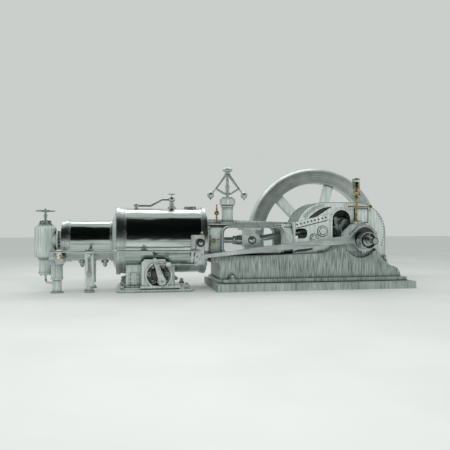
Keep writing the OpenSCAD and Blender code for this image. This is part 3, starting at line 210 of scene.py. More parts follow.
def pipe(name, path, radius, bend=0, closed=False):
    """A round bar or pipe along a path of points, with its corners rounded."""
    points = list(path) + ([path[0]] if closed else [])
    piece = first_point(*points[0])
    draw_on(points)
    bpy.ops.mesh.select_all(action="SELECT")
    bpy.ops.mesh.remove_doubles(threshold=0.02 * MM)
    if bend:
        bpy.ops.mesh.bevel(offset=bend * MM, segments=6, affect="VERTICES")
    bpy.ops.object.mode_set(mode="OBJECT")
    pick(piece)
    bpy.ops.object.convert(target="CURVE")
    curve = bpy.context.object.data
    curve.dimensions = "3D"
    curve.bevel_depth = radius * MM
    curve.bevel_resolution = 4
    curve.use_fill_caps = True
    bpy.ops.object.convert(target="MESH")
    bpy.ops.object.mode_set(mode="EDIT")
    tidy_shell()
    return settle(bpy.context.object, name)


def join(name, pieces):
    """Joins pieces into one mesh."""
    pick(*pieces)
    if len(pieces) > 1:
        bpy.ops.object.join()
    piece = bpy.context.object
    piece.name = piece.data.name = name
    return piece


def copies(name, pattern, places, facing="Z"):
    """One mesh of equal copies of a small piece, each at its place and facing its way."""
    ways = facing if isinstance(facing, list) else [facing] * len(places)
    made = []
    for number, (place, way) in enumerate(zip(places, ways)):
        twin = pattern.copy()
        twin.data = pattern.data.copy()
        bpy.context.scene.collection.objects.link(twin)
        made.append(settle(twin, f"{name}_{number}", place, way, 17 * number))
    bpy.data.objects.remove(pattern)
    return join(name, made)


def around(count, radius, middle, facing="X", start=0.0):
    """Points spaced evenly on a circle that faces along X, Y or Z."""
    places = []
    for number in range(count):
        angle = math.radians(start + 360 * number / count)
        a, b = radius * math.cos(angle), radius * math.sin(angle)
        x, y, z = middle
        places.append({"X": (x, y + a, z + b), "Y": (x + a, y, z + b),
                       "Z": (x + a, y + b, z)}[facing])
    return places


def bow(x, y, radius, start, end, parts=12):
    """Points of an arc in the plane, both ends included."""
    angles = [math.radians(start + (end - start) * i / parts) for i in range(parts + 1)]
    return [(x + radius * math.cos(a), y + radius * math.sin(a)) for a in angles]


def rounded(x, z, half_w, half_h, corner):
    """Points of a closed rectangle with round corners."""
    points = []
    for side_x, side_z, start in ((1, 1, 0), (-1, 1, 90), (-1, -1, 180), (1, -1, 270)):
        points += bow(x + side_x * (half_w - corner), z + side_z * (half_h - corner),
                      corner, start, start + 90, 6)
    return points


def ball_outline(radius):
    """The outline of a ball that is spun about its middle."""
    return bow(0, 0, radius, -90, 90, 8)


def bead_outline(radius, thick):
    """The outline of a round bead that is spun to a ring."""
    parts = 10
    return [(radius + thick * math.cos(math.tau * i / parts),
             thick * math.sin(math.tau * i / parts)) for i in range(parts)]


def finish(piece, body, material):
    """Gives a piece its finish and shading, and the body that it rides on."""
    piece.data.materials.clear()
    piece.data.materials.append(material)
    pick(piece)
    bpy.ops.object.shade_smooth_by_angle(angle=SMOOTH_UNDER)
    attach(piece, body)
    return piece


# Fastenings, each modelled once at the size that is asked for

def hex_nut(across):
    """A hexagon nut on its washer, with the round end of its stud, standing on Z 0."""
    washer = turned("washer", [(0, 0), (0.64 * across, 0), (0.64 * across, 0.09 * across),
                               (0, 0.09 * across)], sides=18)
    nothing_selected()
    bpy.ops.mesh.primitive_cylinder_add(
        vertices=6, radius=across / math.sqrt(3) * MM, depth=0.8 * across * MM)
    nut = bpy.context.object
    bpy.ops.object.mode_set(mode="EDIT")
    bpy.ops.mesh.bevel(offset=0.07 * across * MM, segments=1, affect="EDGES")
    tidy_shell()
    nut = settle(nut, "nut", (0, 0, 0.49 * across))
    stud = turned("stud", [(0, 0.8 * across), (0.3 * across, 0.8 * across),
                           (0.3 * across, 1.06 * across), (0.2 * across, 1.16 * across),
                           (0, 1.2 * across)], sides=12)
    return join("hex_nut", [nut, washer, stud])


def cap_nut(across):
    """A domed nut on a round washer, standing on Z 0."""
    washer = turned("washer", [(0, 0), (0.74 * across, 0), (0.7 * across, 0.14 * across),
                               (0, 0.14 * across)], sides=24)
    body = turned("cap", [(0, 0.1 * across), (0.56 * across, 0.1 * across),
                          (0.56 * across, 0.7 * across)]
                  + [(0.5 * across * math.cos(math.radians(a)),
                      (0.74 + 0.46 * math.sin(math.radians(a))) * across)
                     for a in (0, 20, 40, 60, 80)] + [(0, 1.2 * across)], sides=6)
    return join("cap_nut", [body, washer])


def round_head(radius):
    """A rivet or screw head, standing on Z 0."""
    return turned("head", [(0, 0), (radius, 0), (0.92 * radius, 0.35 * radius),
                           (0.6 * radius, 0.66 * radius), (0, 0.78 * radius)], sides=10)


def oil_cup(height):
    """A small brass oil cup with a knurled lid, standing on Z 0."""
    h = height
    return turned("oil_cup", [
        (0, 0), (0.2 * h, 0), (0.2 * h, 0.12 * h), (0.11 * h, 0.16 * h), (0.11 * h, 0.3 * h),
        (0.3 * h, 0.42 * h), (0.34 * h, 0.7 * h), (0.38 * h, 0.72 * h), (0.38 * h, 0.8 * h),
        (0.24 * h, 0.88 * h), (0.1 * h, 0.9 * h), (0.1 * h, 0.96 * h), (0, h)], sides=20)


# Materials

def linear(code):
    """An sRGB hex colour as the linear values that a shader takes."""
    parts = [int(code[i:i + 2], 16) / 255 for i in (1, 3, 5)]
    return [c / 12.92 if c <= 0.04045 else ((c + 0.055) / 1.055) ** 2.4 for c in parts] + [1.0]


def add(tree, kind, links=None, sockets=None, **settings):
    """Adds a node with its settings, its socket values and its links."""
    node = tree.nodes.new(kind)
    for key, value in settings.items():
        setattr(node, key, value)
    for key, value in (sockets or {}).items():
        node.inputs[key].default_value = value
    for key, source in (links or {}).items():
        tree.links.new(source, node.inputs[key])
    return node


def new_material(name, **sockets):
    """A material with one principled shader, and the sockets that are set on it."""
    material = bpy.data.materials.new(name)
    material.use_nodes = True
    tree = material.node_tree
    shader = tree.nodes["Principled BSDF"]
    for key, value in sockets.items():
        shader.inputs[key.replace("_", " ")].default_value = value
    place = add(tree, "ShaderNodeTexCoord").outputs["Object"]
    return material, tree, shader, place


def two_tones(tree, amount, dark, light, low=0.35, high=0.65):
    """Blends two colours of one finish as an amount goes from its low to its high."""
    share = add(tree, "ShaderNodeMapRange", {"Value": amount},
                {"From Min": low, "From Max": high})
    blend = add(tree, "ShaderNodeMix", {"Factor": share.outputs["Result"]},
                {"A": linear(dark), "B": linear(light)}, data_type="RGBA")
    return blend.outputs["Result"]


def colour(tree, shader, *tones):
    """Colours a finish with a blend of two tones."""
    tree.links.new(two_tones(tree, *tones), shader.inputs["Base Color"])


def engine_enamel(name, dark, light, streak_mm, gloss=0.38):
    """Oil enamel brushed on cast iron: it gives a soft sheen over faint sand-cast grain, with the
    brush's upright streaks, drawn about three times as coarse as real ones so that they show, and
    painted shade that darkens its corners and creases."""
    material, tree, shader, place = new_material(name, Roughness=gloss, Coat_Weight=0.2,
                                                 Coat_Roughness=0.2)
    upright = add(tree, "ShaderNodeMapping", {"Vector": place},
                  {"Scale": (1000 / streak_mm, 1000 / streak_mm, 60 / streak_mm)})
    streaks = add(tree, "ShaderNodeTexNoise", {"Vector": upright.outputs["Vector"]},
                  {"Scale": 1.0, "Detail": 4.0, "Roughness": 0.62})
    # Broad ageing of the paint, about 400 mm across
    ageing = add(tree, "ShaderNodeTexNoise", {"Vector": place},
                 {"Scale": 2.5, "Detail": 3.0, "Roughness": 0.5})
    both = add(tree, "ShaderNodeMix", {"A": streaks.outputs["Fac"], "B": ageing.outputs["Fac"]},
               {"Factor": 0.12}, data_type="FLOAT")
    # Painted shade: the colour darkens towards a near black in the corners and creases that ambient
    # occlusion finds, darkest within 20 mm of them
    corners = add(tree, "ShaderNodeAmbientOcclusion", sockets={"Distance": 0.06}, samples=8)
    unshaded_share = add(tree, "ShaderNodeMapRange", {"Value": corners.outputs["AO"]},
                    {"From Min": 0.35, "From Max": 0.9})
    corner_shaded = add(tree, "ShaderNodeMix", {"Factor": unshaded_share.outputs["Result"],
                                        "B": two_tones(tree, both.outputs["Result"], dark, light)},
                {"A": linear("#26302b")}, data_type="RGBA")
    tree.links.new(corner_shaded.outputs["Result"], shader.inputs["Base Color"])
    # Grain of the casting, 4 mm across and a quarter of a millimetre deep
    grain = add(tree, "ShaderNodeTexNoise", {"Vector": place}, {"Scale": 250.0, "Detail": 2.0})
    ripple = add(tree, "ShaderNodeBump", {"Height": streaks.outputs["Fac"]},
                 {"Strength": 0.25, "Distance": 0.0015})
    bump = add(tree, "ShaderNodeBump", {"Height": grain.outputs["Fac"],
                                        "Normal": ripple.outputs["Normal"]},
               {"Strength": 0.3, "Distance": 0.00025})
    tree.links.new(bump.outputs["Normal"], shader.inputs["Normal"])
    return material


def planished_lagging(name):
    """Planished sheet steel, oiled: a mirror, so that its middle shows the dark side of
    the room and its underside the pale floor, broken into streaks by the rolling marks
    and bent by the sheet's own waves."""
    material, tree, shader, place = new_material(name, Metallic=1.0, Roughness=0.16)
    # Waves of the sheet, long round the drum and short along it
    along = add(tree, "ShaderNodeMapping", {"Vector": place}, {"Scale": (1.6, 5.0, 5.0)})
    waves = add(tree, "ShaderNodeTexNoise", {"Vector": along.outputs["Vector"]},
                {"Scale": 1.0, "Detail": 2.0, "Roughness": 0.45})
    # Rolling marks along the sheet, about 20 mm apart so that they show
    rolled = add(tree, "ShaderNodeMapping", {"Vector": place}, {"Scale": (1.1, 52.0, 52.0)})
    marks = add(tree, "ShaderNodeTexNoise", {"Vector": rolled.outputs["Vector"]},
                {"Scale": 1.0, "Detail": 4.0, "Roughness": 0.65})
    colour(tree, shader, marks.outputs["Fac"], "#a6b2ad", "#d8dfdc")
    wave = add(tree, "ShaderNodeBump", {"Height": waves.outputs["Fac"]},
               {"Strength": 0.5, "Distance": 0.02})
    bump = add(tree, "ShaderNodeBump", {"Height": marks.outputs["Fac"],
                                        "Normal": wave.outputs["Normal"]},
               {"Strength": 0.12, "Distance": 0.0006})
    tree.links.new(bump.outputs["Normal"], shader.inputs["Normal"])
    return material


def turned_iron(name, dark, light, axis, middle, groove_mm=14.0, gloss=0.3):
    """Iron turned bright in a lathe: metal with fine rings round its axis, drawn at
    the given spacing so that they show."""
    material, tree, shader, place = new_material(name, Metallic=1.0, Roughness=gloss)
    centred = add(tree, "ShaderNodeMapping", {"Vector": place},
                  {"Location": [-v * MM for v in middle]})
    parts = add(tree, "ShaderNodeSeparateXYZ", {"Vector": centred.outputs["Vector"]})
    across = [a for a in "XYZ" if a != axis]
    flat = add(tree, "ShaderNodeCombineXYZ", {a: parts.outputs[a] for a in across})
    radius = add(tree, "ShaderNodeVectorMath", {"Vector": flat.outputs["Vector"]},
                 operation="LENGTH")
    reach = add(tree, "ShaderNodeMath", {0: radius.outputs["Value"], 1: parts.outputs[axis]},
                operation="ADD")
    rings = add(tree, "ShaderNodeTexNoise", {"W": reach.outputs["Value"]},
                {"Scale": 1000 / groove_mm, "Detail": 4.0, "Roughness": 0.7},
                noise_dimensions="1D")
    handled = add(tree, "ShaderNodeTexNoise", {"Vector": place}, {"Scale": 6.0, "Detail": 4.0})
    both = add(tree, "ShaderNodeMix", {"A": rings.outputs["Fac"], "B": handled.outputs["Fac"]},
               {"Factor": 0.35}, data_type="FLOAT")
    colour(tree, shader, both.outputs["Result"], dark, light)
    rough = add(tree, "ShaderNodeMapRange", {"Value": both.outputs["Result"]},
                {"To Min": gloss + 0.12, "To Max": gloss - 0.08})
    tree.links.new(rough.outputs["Result"], shader.inputs["Roughness"])
    bump = add(tree, "ShaderNodeBump", {"Height": rings.outputs["Fac"]},
               {"Strength": 0.3, "Distance": 0.0005})
    tree.links.new(bump.outputs["Normal"], shader.inputs["Normal"])
    return material


def polished_steel(name, dark="#b4bdba", light="#e6ebe9", gloss=0.3):
    """Steel draw-filed and polished: bright, with faint marks along the bars and a
    few dull patches of oil."""
    material, tree, shader, place = new_material(name, Metallic=1.0, Roughness=gloss)
    drawn = add(tree, "ShaderNodeMapping", {"Vector": place}, {"Scale": (3.0, 60.0, 60.0)})
    filed = add(tree, "ShaderNodeTexNoise", {"Vector": drawn.outputs["Vector"]},
                {"Scale": 1.0, "Detail": 3.0, "Roughness": 0.6})
    oily = add(tree, "ShaderNodeTexNoise", {"Vector": place}, {"Scale": 5.0, "Detail": 2.0})
    both = add(tree, "ShaderNodeMix", {"A": filed.outputs["Fac"], "B": oily.outputs["Fac"]},
               {"Factor": 0.3}, data_type="FLOAT")
    colour(tree, shader, both.outputs["Result"], dark, light)
    rough = add(tree, "ShaderNodeMapRange", {"Value": oily.outputs["Fac"]},
                {"From Min": 0.3, "From Max": 0.7, "To Min": gloss + 0.1, "To Max": gloss - 0.06})
    tree.links.new(rough.outputs["Result"], shader.inputs["Roughness"])
    bump = add(tree, "ShaderNodeBump", {"Height": filed.outputs["Fac"]},
               {"Strength": 0.1, "Distance": 0.0002})
    tree.links.new(bump.outputs["Normal"], shader.inputs["Normal"])
    return material


def polished_brass(name):
    """Cast brass, turned and hand polished: warm metal with browner tarnish in patches."""
    material, tree, shader, place = new_material(name, Metallic=1.0, Roughness=0.24)
    tarnish = add(tree, "ShaderNodeTexNoise", {"Vector": place},
                  {"Scale": 22.0, "Detail": 5.0, "Roughness": 0.6})
    colour(tree, shader, tarnish.outputs["Fac"], "#8c7a4e", "#d6c593")
    rough = add(tree, "ShaderNodeMapRange", {"Value": tarnish.outputs["Fac"]},
                {"To Min": 0.42, "To Max": 0.14})
    tree.links.new(rough.outputs["Result"], shader.inputs["Roughness"])
    return material


def dressed_cement(name):
    """Cement rendered foundation, dressed with a comb: matt grey with upright tool
    marks 12 to 30 mm apart, paler where they stand proud."""
    material, tree, shader, place = new_material(name, Roughness=0.9, Specular_IOR_Level=0.25)
    combed = add(tree, "ShaderNodeMapping", {"Vector": place}, {"Scale": (42.0, 42.0, 2.4)})
    marks = add(tree, "ShaderNodeTexNoise", {"Vector": combed.outputs["Vector"]},
                {"Scale": 1.0, "Detail": 5.0, "Roughness": 0.7})
    stains = add(tree, "ShaderNodeTexNoise", {"Vector": place}, {"Scale": 3.0, "Detail": 4.0})
    both = add(tree, "ShaderNodeMix", {"A": marks.outputs["Fac"], "B": stains.outputs["Fac"]},
               {"Factor": 0.35}, data_type="FLOAT")
    colour(tree, shader, both.outputs["Result"], "#6f7974", "#b3bcb6", 0.36, 0.62)
    sand = add(tree, "ShaderNodeTexNoise", {"Vector": place}, {"Scale": 320.0, "Detail": 2.0})
    cut = add(tree, "ShaderNodeBump", {"Height": marks.outputs["Fac"]},
              {"Strength": 0.8, "Distance": 0.005})
    bump = add(tree, "ShaderNodeBump", {"Height": sand.outputs["Fac"],
                                        "Normal": cut.outputs["Normal"]},
               {"Strength": 0.5, "Distance": 0.0008})
    tree.links.new(bump.outputs["Normal"], shader.inputs["Normal"])
    return material


def black_japan_and_shade(name):
    """Black japan, a baked varnish on iron: deep black under a hard gloss, a little clouded where it
    was handled. The same black serves as painted shade in gaps, grooves and recesses."""
    material, tree, shader, place = new_material(name, Roughness=0.3, Coat_Weight=1.0,
                                                 Coat_Roughness=0.08)
    cloud = add(tree, "ShaderNodeTexNoise", {"Vector": place}, {"Scale": 30.0, "Detail": 3.0})
    colour(tree, shader, cloud.outputs["Fac"], "#0a0f0d", "#1b2320")
    return material


def sight_glass(name):
    """Blown glass of an oiler: clear, a touch green, with slight waves."""
    material, tree, shader, place = new_material(
        name, Base_Color=linear("#e4f0ea"), Roughness=0.03, IOR=1.5, Transmission_Weight=1.0)
    waves = add(tree, "ShaderNodeTexNoise", {"Vector": place}, {"Scale": 40.0})
    bump = add(tree, "ShaderNodeBump", {"Height": waves.outputs["Fac"]},
               {"Strength": 0.1, "Distance": 0.001})
    tree.links.new(bump.outputs["Normal"], shader.inputs["Normal"])
    return material


def machine_oil(name):
    """Mineral oil seen through glass: clear amber, mottled at random between two tones."""
    material, tree, shader, place = new_material(name, Roughness=0.05, IOR=1.47,
                                                 Coat_Weight=1.0)
    depth = add(tree, "ShaderNodeTexNoise", {"Vector": place}, {"Scale": 12.0, "Detail": 1.0})
    colour(tree, shader, depth.outputs["Fac"], "#5a3a10", "#8a5f1e")
    return material


enamel = engine_enamel("engine_enamel", "#98a5a0", "#d0d8d4", 16)
bed_enamel = engine_enamel("bed_enamel", "#4c5954", "#b4beb9", 13, gloss=0.45)
wheel_enamel = engine_enamel("wheel_enamel", "#bcc6c1", "#e2e8e5", 30)
# The hood's paint as a lit and a shaded copy: lighter on its sides, a painted highlight, and darker
# on its curved top sheet, a painted shade
hood_lit_enamel = engine_enamel("hood_lit_sheet_enamel", "#a9b5b0", "#dfe6e3", 16, gloss=0.3)
hood_top_shaded_enamel = engine_enamel("hood_top_shaded_enamel", "#333f3a", "#84928c", 20, gloss=0.25)
lagging_sheet = planished_lagging("planished_lagging")
cover_iron = turned_iron("turned_cover_iron", "#a2ada9", "#e2e8e6", "X",
                         (0, 0, AXIS_Z))
wheel_iron = turned_iron("turned_wheel_iron", "#aab5b1", "#f0f4f2", "Y",
                         (wheel.x, wheel.y, AXIS_Z), groove_mm=26.0, gloss=0.48)
shaft_iron = turned_iron("turned_shaft_iron", "#a2ada9", "#e2e8e6", "Y",
                         (SHAFT_X, 0, AXIS_Z), groove_mm=9.0)
fitting_iron = turned_iron("turned_fitting_iron", "#8f9996", "#d3dad8", "Z",
                           (bonnet.x, 0, 0), groove_mm=8.0)
cap_iron = turned_iron("turned_cap_iron", "#8f9996", "#d3dad8", "Z", (top_cover.x, 0, 0),
                       groove_mm=8.0)
bar_steel = polished_steel("polished_steel")
nut_steel = polished_steel("nut_steel", "#a3adaa", "#e2e8e6")
burnished_steel = polished_steel("burnished_steel", "#ccd3d0", "#f0f3f2", 0.5)
brass = polished_brass("polished_brass")
cement = dressed_cement("dressed_cement")
japan_and_shade = black_japan_and_shade("black_japan_and_shade")
glass = sight_glass("sight_glass")
oil = machine_oil("machine_oil")

# The finish of every node
NODE_FINISH = {
    cement: ["foundation_block"],
    bed_enamel: ["bed", "outboard_pedestal"],
    enamel: ["crosshead_guide", "distance_cone", "stop_valve_body", "drain_pot",
             "small_cylinder_legs", "large_saddle_block", "large_base_plate", "valve_gear_stand",
             "main_bearing_near", "main_bearing_far", "governor_column"],
    lagging_sheet: ["large_cylinder", "small_cylinder"],
    cover_iron: ["large_front_cover", "large_rear_cover", "small_rear_cover"],
    fitting_iron: ["stop_valve_bonnet", "stop_valve_handwheel"],
    cap_iron: ["top_cover"],
    bar_steel: ["drain_pipe", "rocker_bracket", "rod_guide_large", "rod_guide_small",
                "small_gear_bracket", "rocker", "small_valve_rod", "large_valve_rod",
                "large_gear_lever", "small_gear_lever", "eccentric_strap", "eccentric_rod",
                "crosshead", "piston_rod", "connecting_rod", "big_end_bearing", "crank_pin",
                "relief_pipe", "relief_wheel"],
    burnished_steel: ["governor_spindle", "governor_arm_left", "governor_arm_right",
                      "governor_link_left", "governor_link_right", "governor_sleeve"],
    shaft_iron: ["crank_near", "crank_far", "belt_drum"],
    # The eccentric sheave is black as painted shade in the gap between the strap and the drum
    japan_and_shade: ["eccentric_sheave"],
    wheel_iron: ["flywheel_rim"],
    wheel_enamel: ["flywheel_spider"],
    hood_lit_enamel: ["hood_far_side", "hood_near_side"],
    hood_top_shaded_enamel: ["hood_sheet"],
    brass: ["bearing_oiler", "guide_lubricator"],
}
for material, names in NODE_FINISH.items():
    for name in names:
        for material_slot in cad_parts[name].material_slots:
            material_slot.material = material


# The two finishes that most of the small pieces have

def bright(piece, body="engine"):
    """Finishes a piece as bright steel."""
    return finish(piece, body, nut_steel)


def japanned_and_shaded(piece, body="engine"):
    """Finishes a piece in black, which has no material slot in the record: black japan on some
    pieces and painted shade on others.
    """
    return finish(piece, body, japan_and_shade)


def fasten(name, pattern, places, facing="Z", body="engine"):
    """Puts bright nuts, bolts or screws of one size at their places."""
    return bright(copies(name, pattern, places, facing), body)


# Pieces on the cylinders and on the stop valve

def cover_nuts():
    """Screws of the polished covers, and nuts round the flanges of the stop valve, its
    drain pot and the top cover."""
    for name, radius, count, circle, x, way in [
            ("front_cover_screws", 15, 24, 470, guide.x0 - 14, "X"),
            ("rear_cover_screws", 12, 28, 473, rear_cover.x0, "-X"),
            ("small_cover_screws", 12, 20, 262, small_cover.x0, "-X")]:
        fasten(name, round_head(radius), around(count, circle, (x, 0, AXIS_Z), "X"), way)
    rows = [
        # Name, width across flats, how many, circle's radius, middle, way they face
        ("branch_nuts", 24, 8, 132, (small_cover.x0 - 26, 0, AXIS_Z + 10), "-X"),
        ("bonnet_nuts", 20, 8, 79, (bonnet.x, 0, bonnet.z0 + 18), "Z"),
        ("chamber_nuts", 20, 6, 68, (bonnet.x, 0, valve.z0), "-Z"),
        ("top_cover_nuts", 20, 8, 78, (top_cover.x, 0, top_cover.z1 - 16), "Z"),
        ("pot_nuts", 20, 6, 65, (pot.x, pot.y, pot.z1 - 17), "Z"),
    ]
    for name, across, count, radius, middle, way in rows:
        fasten(name, hex_nut(across),
               around(count, radius, middle, way.strip("-"), start=180 / count), way)


def guide_nuts():
    """Nuts that hold the guide's flange, where the deck and the bed leave room for them."""
    circle, bed_top, deck_under, deck_half = 268, 500, 895, 172
    ring = around(12, circle, (guide.x0 + 28, 0, AXIS_Z), "X", start=15)
    places = [(x, y, z) for x, y, z in ring
              if z > bed_top and not (abs(y) < deck_half and z > deck_under)]
    fasten("guide_flange_nuts", hex_nut(30), places, "X")


def band_screws():
    """Bright steel bands round the ends of both laggings, and the screws that hold them."""
    for name, drum_span, inset, count in [("lagging_screws", lagging, 17, 36),
                                          ("small_lagging_screws", small_lagging, 13, 24)]:
        radius = drum_span.z1 - AXIS_Z - 0.4
        outline = [(radius - 1, 1 - inset), (radius + 2, 1 - inset), (radius + 3, 3 - inset),
                   (radius + 3, inset - 3), (radius + 2, inset - 1), (radius - 1, inset - 1)]
        bands = [turned("band", outline, (x, 0, AXIS_Z), "X", 96, ring=True)
                 for x in (drum_span.x0 + inset, drum_span.x1 - inset)]
        finish(join(name.replace("screws", "bands"), bands), "engine", cover_iron)
        radius += 3
        places, ways = [], []
        for x in (drum_span.x0 + inset, drum_span.x1 - inset):
            places += around(count, radius, (x, 0, AXIS_Z), "X")
            ways += [(360 * n / count - 90, 0, 0) for n in range(count)]
        fasten(name, round_head(7), places, ways)


def lagging_edges():
    """Rolled beads beside the bright bands, where the lagging sheets end."""
    for name, drum_span, width in [("lagging_bead", lagging, 34),
                                   ("small_lagging_bead", small_lagging, 26)]:
        radius = drum_span.z1 - AXIS_Z - 5
        beads = [turned(f"{name}_{n}", bead_outline(radius, 4), (x, 0, AXIS_Z), "X", 96, ring=True)
                 for n, x in enumerate((drum_span.x0 + width + 3, drum_span.x1 - width - 3))]
        finish(join(name, beads), "engine", bar_steel)


def cylinder_drains():
    """Hexagon plugs under the small cylinder's two stubs, and on the ends of the saddle block."""
    stubs = [(x, 0, small_lagging.z0) for x in (small_lagging.x1 - 110, legs.x - 116)]
    plugs = copies("drain_plugs", hex_nut(56), stubs, "-Z")
    rear = [(saddle.x0 + 4, y, 150) for y in (-230, 230)]
    front = [(saddle.x1, y, 165) for y in (-200, 200)]
    bosses = copies("saddle_plugs", hex_nut(48), rear + front, ["-X", "-X", "X", "X"])
    bright(join("saddle_and_drain_plugs", [plugs, bosses]))


def saddle_cover():
    """Cover plate with its nuts on the near side of the saddle block."""
    x0, x1, z0, z1 = saddle.x0 + 62, saddle.x0 + 204, saddle.z0 + 38, saddle.z0 + 202
    y, thick, inset = saddle.y0 + 20, 14, 22
    door = block("saddle_cover", (x0, y - thick, z0), (x1, y, z1), ease=4)
    finish(door, "engine", enamel)
    levels = (z0 + inset, (z0 + z1) / 2, z1 - inset)
    places = [(x, y - thick, z) for x in (x0 + inset, x1 - inset) for z in levels]
    fasten("saddle_cover_nuts", hex_nut(20), places, "-Y")


def stop_valve_trim():
    """The spindle's thread, and the moulded beads round the stop valve's body."""
    z0, z1, pitch, root = bonnet.z1 + 2, bonnet.z1 + 28, 6, 13
    thread = [(root, z0)]
    while thread[-1][1] < z1 - pitch:
        low = thread[-1][1]
        thread += [(root + 4.5, low + pitch / 2), (root, low + pitch)]
    low, high = z1 + 49, z1 + 51
    collar = [(root, low), (root + 4, low), (root + 4, high), (root, high)]
    finish(join("spindle_thread", [
        turned("thread", thread, (bonnet.x, 0, 0), sides=24, ring=True),
        turned("collar", collar, (bonnet.x, 0, 0), sides=24, ring=True)]),
        "handwheel", bar_steel)
    bead = bead_outline(bonnet.x - valve.x0 - 5, 4.6)
    beads = [turned("bead", bead, (bonnet.x, 0, z), sides=64, ring=True)
             for z in (valve.z1 - 64, valve.z0 + 280)]
    finish(join("valve_body_beads", beads), "engine", enamel)


def relief_trim():
    """Screws on the relief pipe's flange and round the foot of its cock."""
    flange = around(6, 35, (relief.x0 + 44, 0, relief.z0 + 34), "Z")
    foot = around(6, 48, (relief.x1 - 60, 0, lagging.z1 + 22), "Z", start=30)
    fasten("relief_screws", round_head(7), flange + foot)
    hub = turned("hub", [(0, 0), (12, 0), (12, 7), (8, 12), (0, 13)],
                 (relief_hub.x, 0, relief_hub.z1 - 14), sides=20)
    bright(hub, "relief_wheel")


# Pieces on the valve gear

def gear_pins():
    """Nuts on the pins of the rocker, the levers and the valve rods."""
    pivots = [copies("lever_pivot_nut", hex_nut(across), [(x, PIN_END_Y, z)], "-Y")
              for across, (x, z) in ((34, LARGE_PIVOT), (26, SMALL_PIVOT))]
    bright(join("lever_pivot_nuts", pivots))
    # The rocker's pivot has a black ring round a bright domed hub
    x, z = ROCKER_PIVOT
    ring = turned("rocker_pivot_ring", [(29, 0), (57, 0), (59, 3), (57, 8), (34, 10), (29, 7)],
                  (x, ROCKER_Y0 - 3, z), "-Y", ring=True)
    japanned_and_shaded(ring)
    hub = turned("rocker_pivot_hub", [(0, 0), (28.5, 0), (28.5, 12), (24, 18), (13, 22), (0, 23)],
                 (x, ROCKER_Y0 - 3, z), "-Y", sides=32)
    bright(hub)
    for body in ("small_valve_rod", "large_valve_rod"):
        rod = span(body)
        xs = (rod.x0 + EYE_R, rod.x1 - EYE_R)
        fasten(f"{body}_nuts", hex_nut(22), [(x, rod.y0, rod.z) for x in xs], "-Y", body=body)
    fasten("rocker_bolt", hex_nut(32), [(ROD_EYE[0], ROCKER_Y0, ROD_EYE[1])], "-Y", body="rocker")


def rod_fittings():
    """Hexagon couplings on the valve rods, and oil cups over the eyes that guide them and
    on the small lever's bracket."""
    six = [(0, 0), (15, 0), (21, 4), (21, 44), (15, 48), (0, 48)]
    for body, x in (("large_valve_rod", -2755), ("small_valve_rod", -3600)):
        rod = span(body)
        sleeve = turned(f"{body}_coupling", six, (x, ROD_Y, rod.z), "X", sides=6)
        bright(sleeve, body)
    eyes = [(span(f"rod_guide_{size}").x, ROD_Y, 601) for size in ("large", "small")]
    cups = [copies("rod_guide_cups", oil_cup(38), eyes)]
    for height, inset in ((62, 149), (50, 84)):
        place = (gear_bracket.x0 + inset, gear_bracket.y0 + 50, gear_bracket.z1 - 1)
        cups.append(copies("gear_bracket_cup", oil_cup(height), [place]))
    finish(join("rod_guide_cups", cups), "engine", brass)


def bracket_trim():
    """Bolts on the rocker's bracket, flush ones where the eccentric rod swings past,
    and the oil cup on its top edge."""
    xs = (bracket.x0 + 22, bracket.x1 - 20)
    high = copies("bracket_bolts", hex_nut(22),
                  [(x, BRACKET_Y0, bracket.z1 - 20) for x in xs], "-Y")
    flush = turned("flush_bolt", [(0, 0), (14, 0), (14, 3), (12.5, 4), (0, 4)], sides=24)
    low = copies("flush_bolts", flush, [(x, BRACKET_Y0, bracket.z0 + 22) for x in xs], "-Y")
    bright(join("bracket_bolts", [high, low]))
    cup = copies("bracket_cup", oil_cup(54), [(bracket.x1 - 30, BRACKET_Y0 + 8, bracket.z1 - 1)])
    finish(cup, "engine", brass)


def valve_bonnet_in_stand():
    """The bonnet of the large valve behind the stand's round window, black as painted shade inside
    the window, with bright round nuts, and the brace on the lever in front of it."""
    x, z, face = stand.x - 20, stand.z0 + 177, stand.y1 + 100
    bonnet_plate = turned("valve_bonnet", [(0, 0), (152, 0), (152, 22), (146, 28), (104, 30),
                                           (96, 44), (60, 52), (0, 54)], (x, face, z), "-Y", 64)
    # The bonnet's black is painted shade inside the stand's window
    japanned_and_shaded(bonnet_plate)
    nuts = copies("valve_bonnet_nuts", cap_nut(40), around(6, 124, (x, face - 27, z), "Y"), "-Y")
    finish(nuts, "engine", bar_steel)
    ends = [(-2999, PIN_END_Y, 350), (-2950, PIN_END_Y, 266)]
    brace = pipe("brace", ends, 6)
    balls = copies("brace_ends", turned("ball", ball_outline(9), sides=16), ends)
    bright(join("lever_brace", [brace, balls]), "large_gear_lever")


# Pieces on the guide, the bed and the foundation

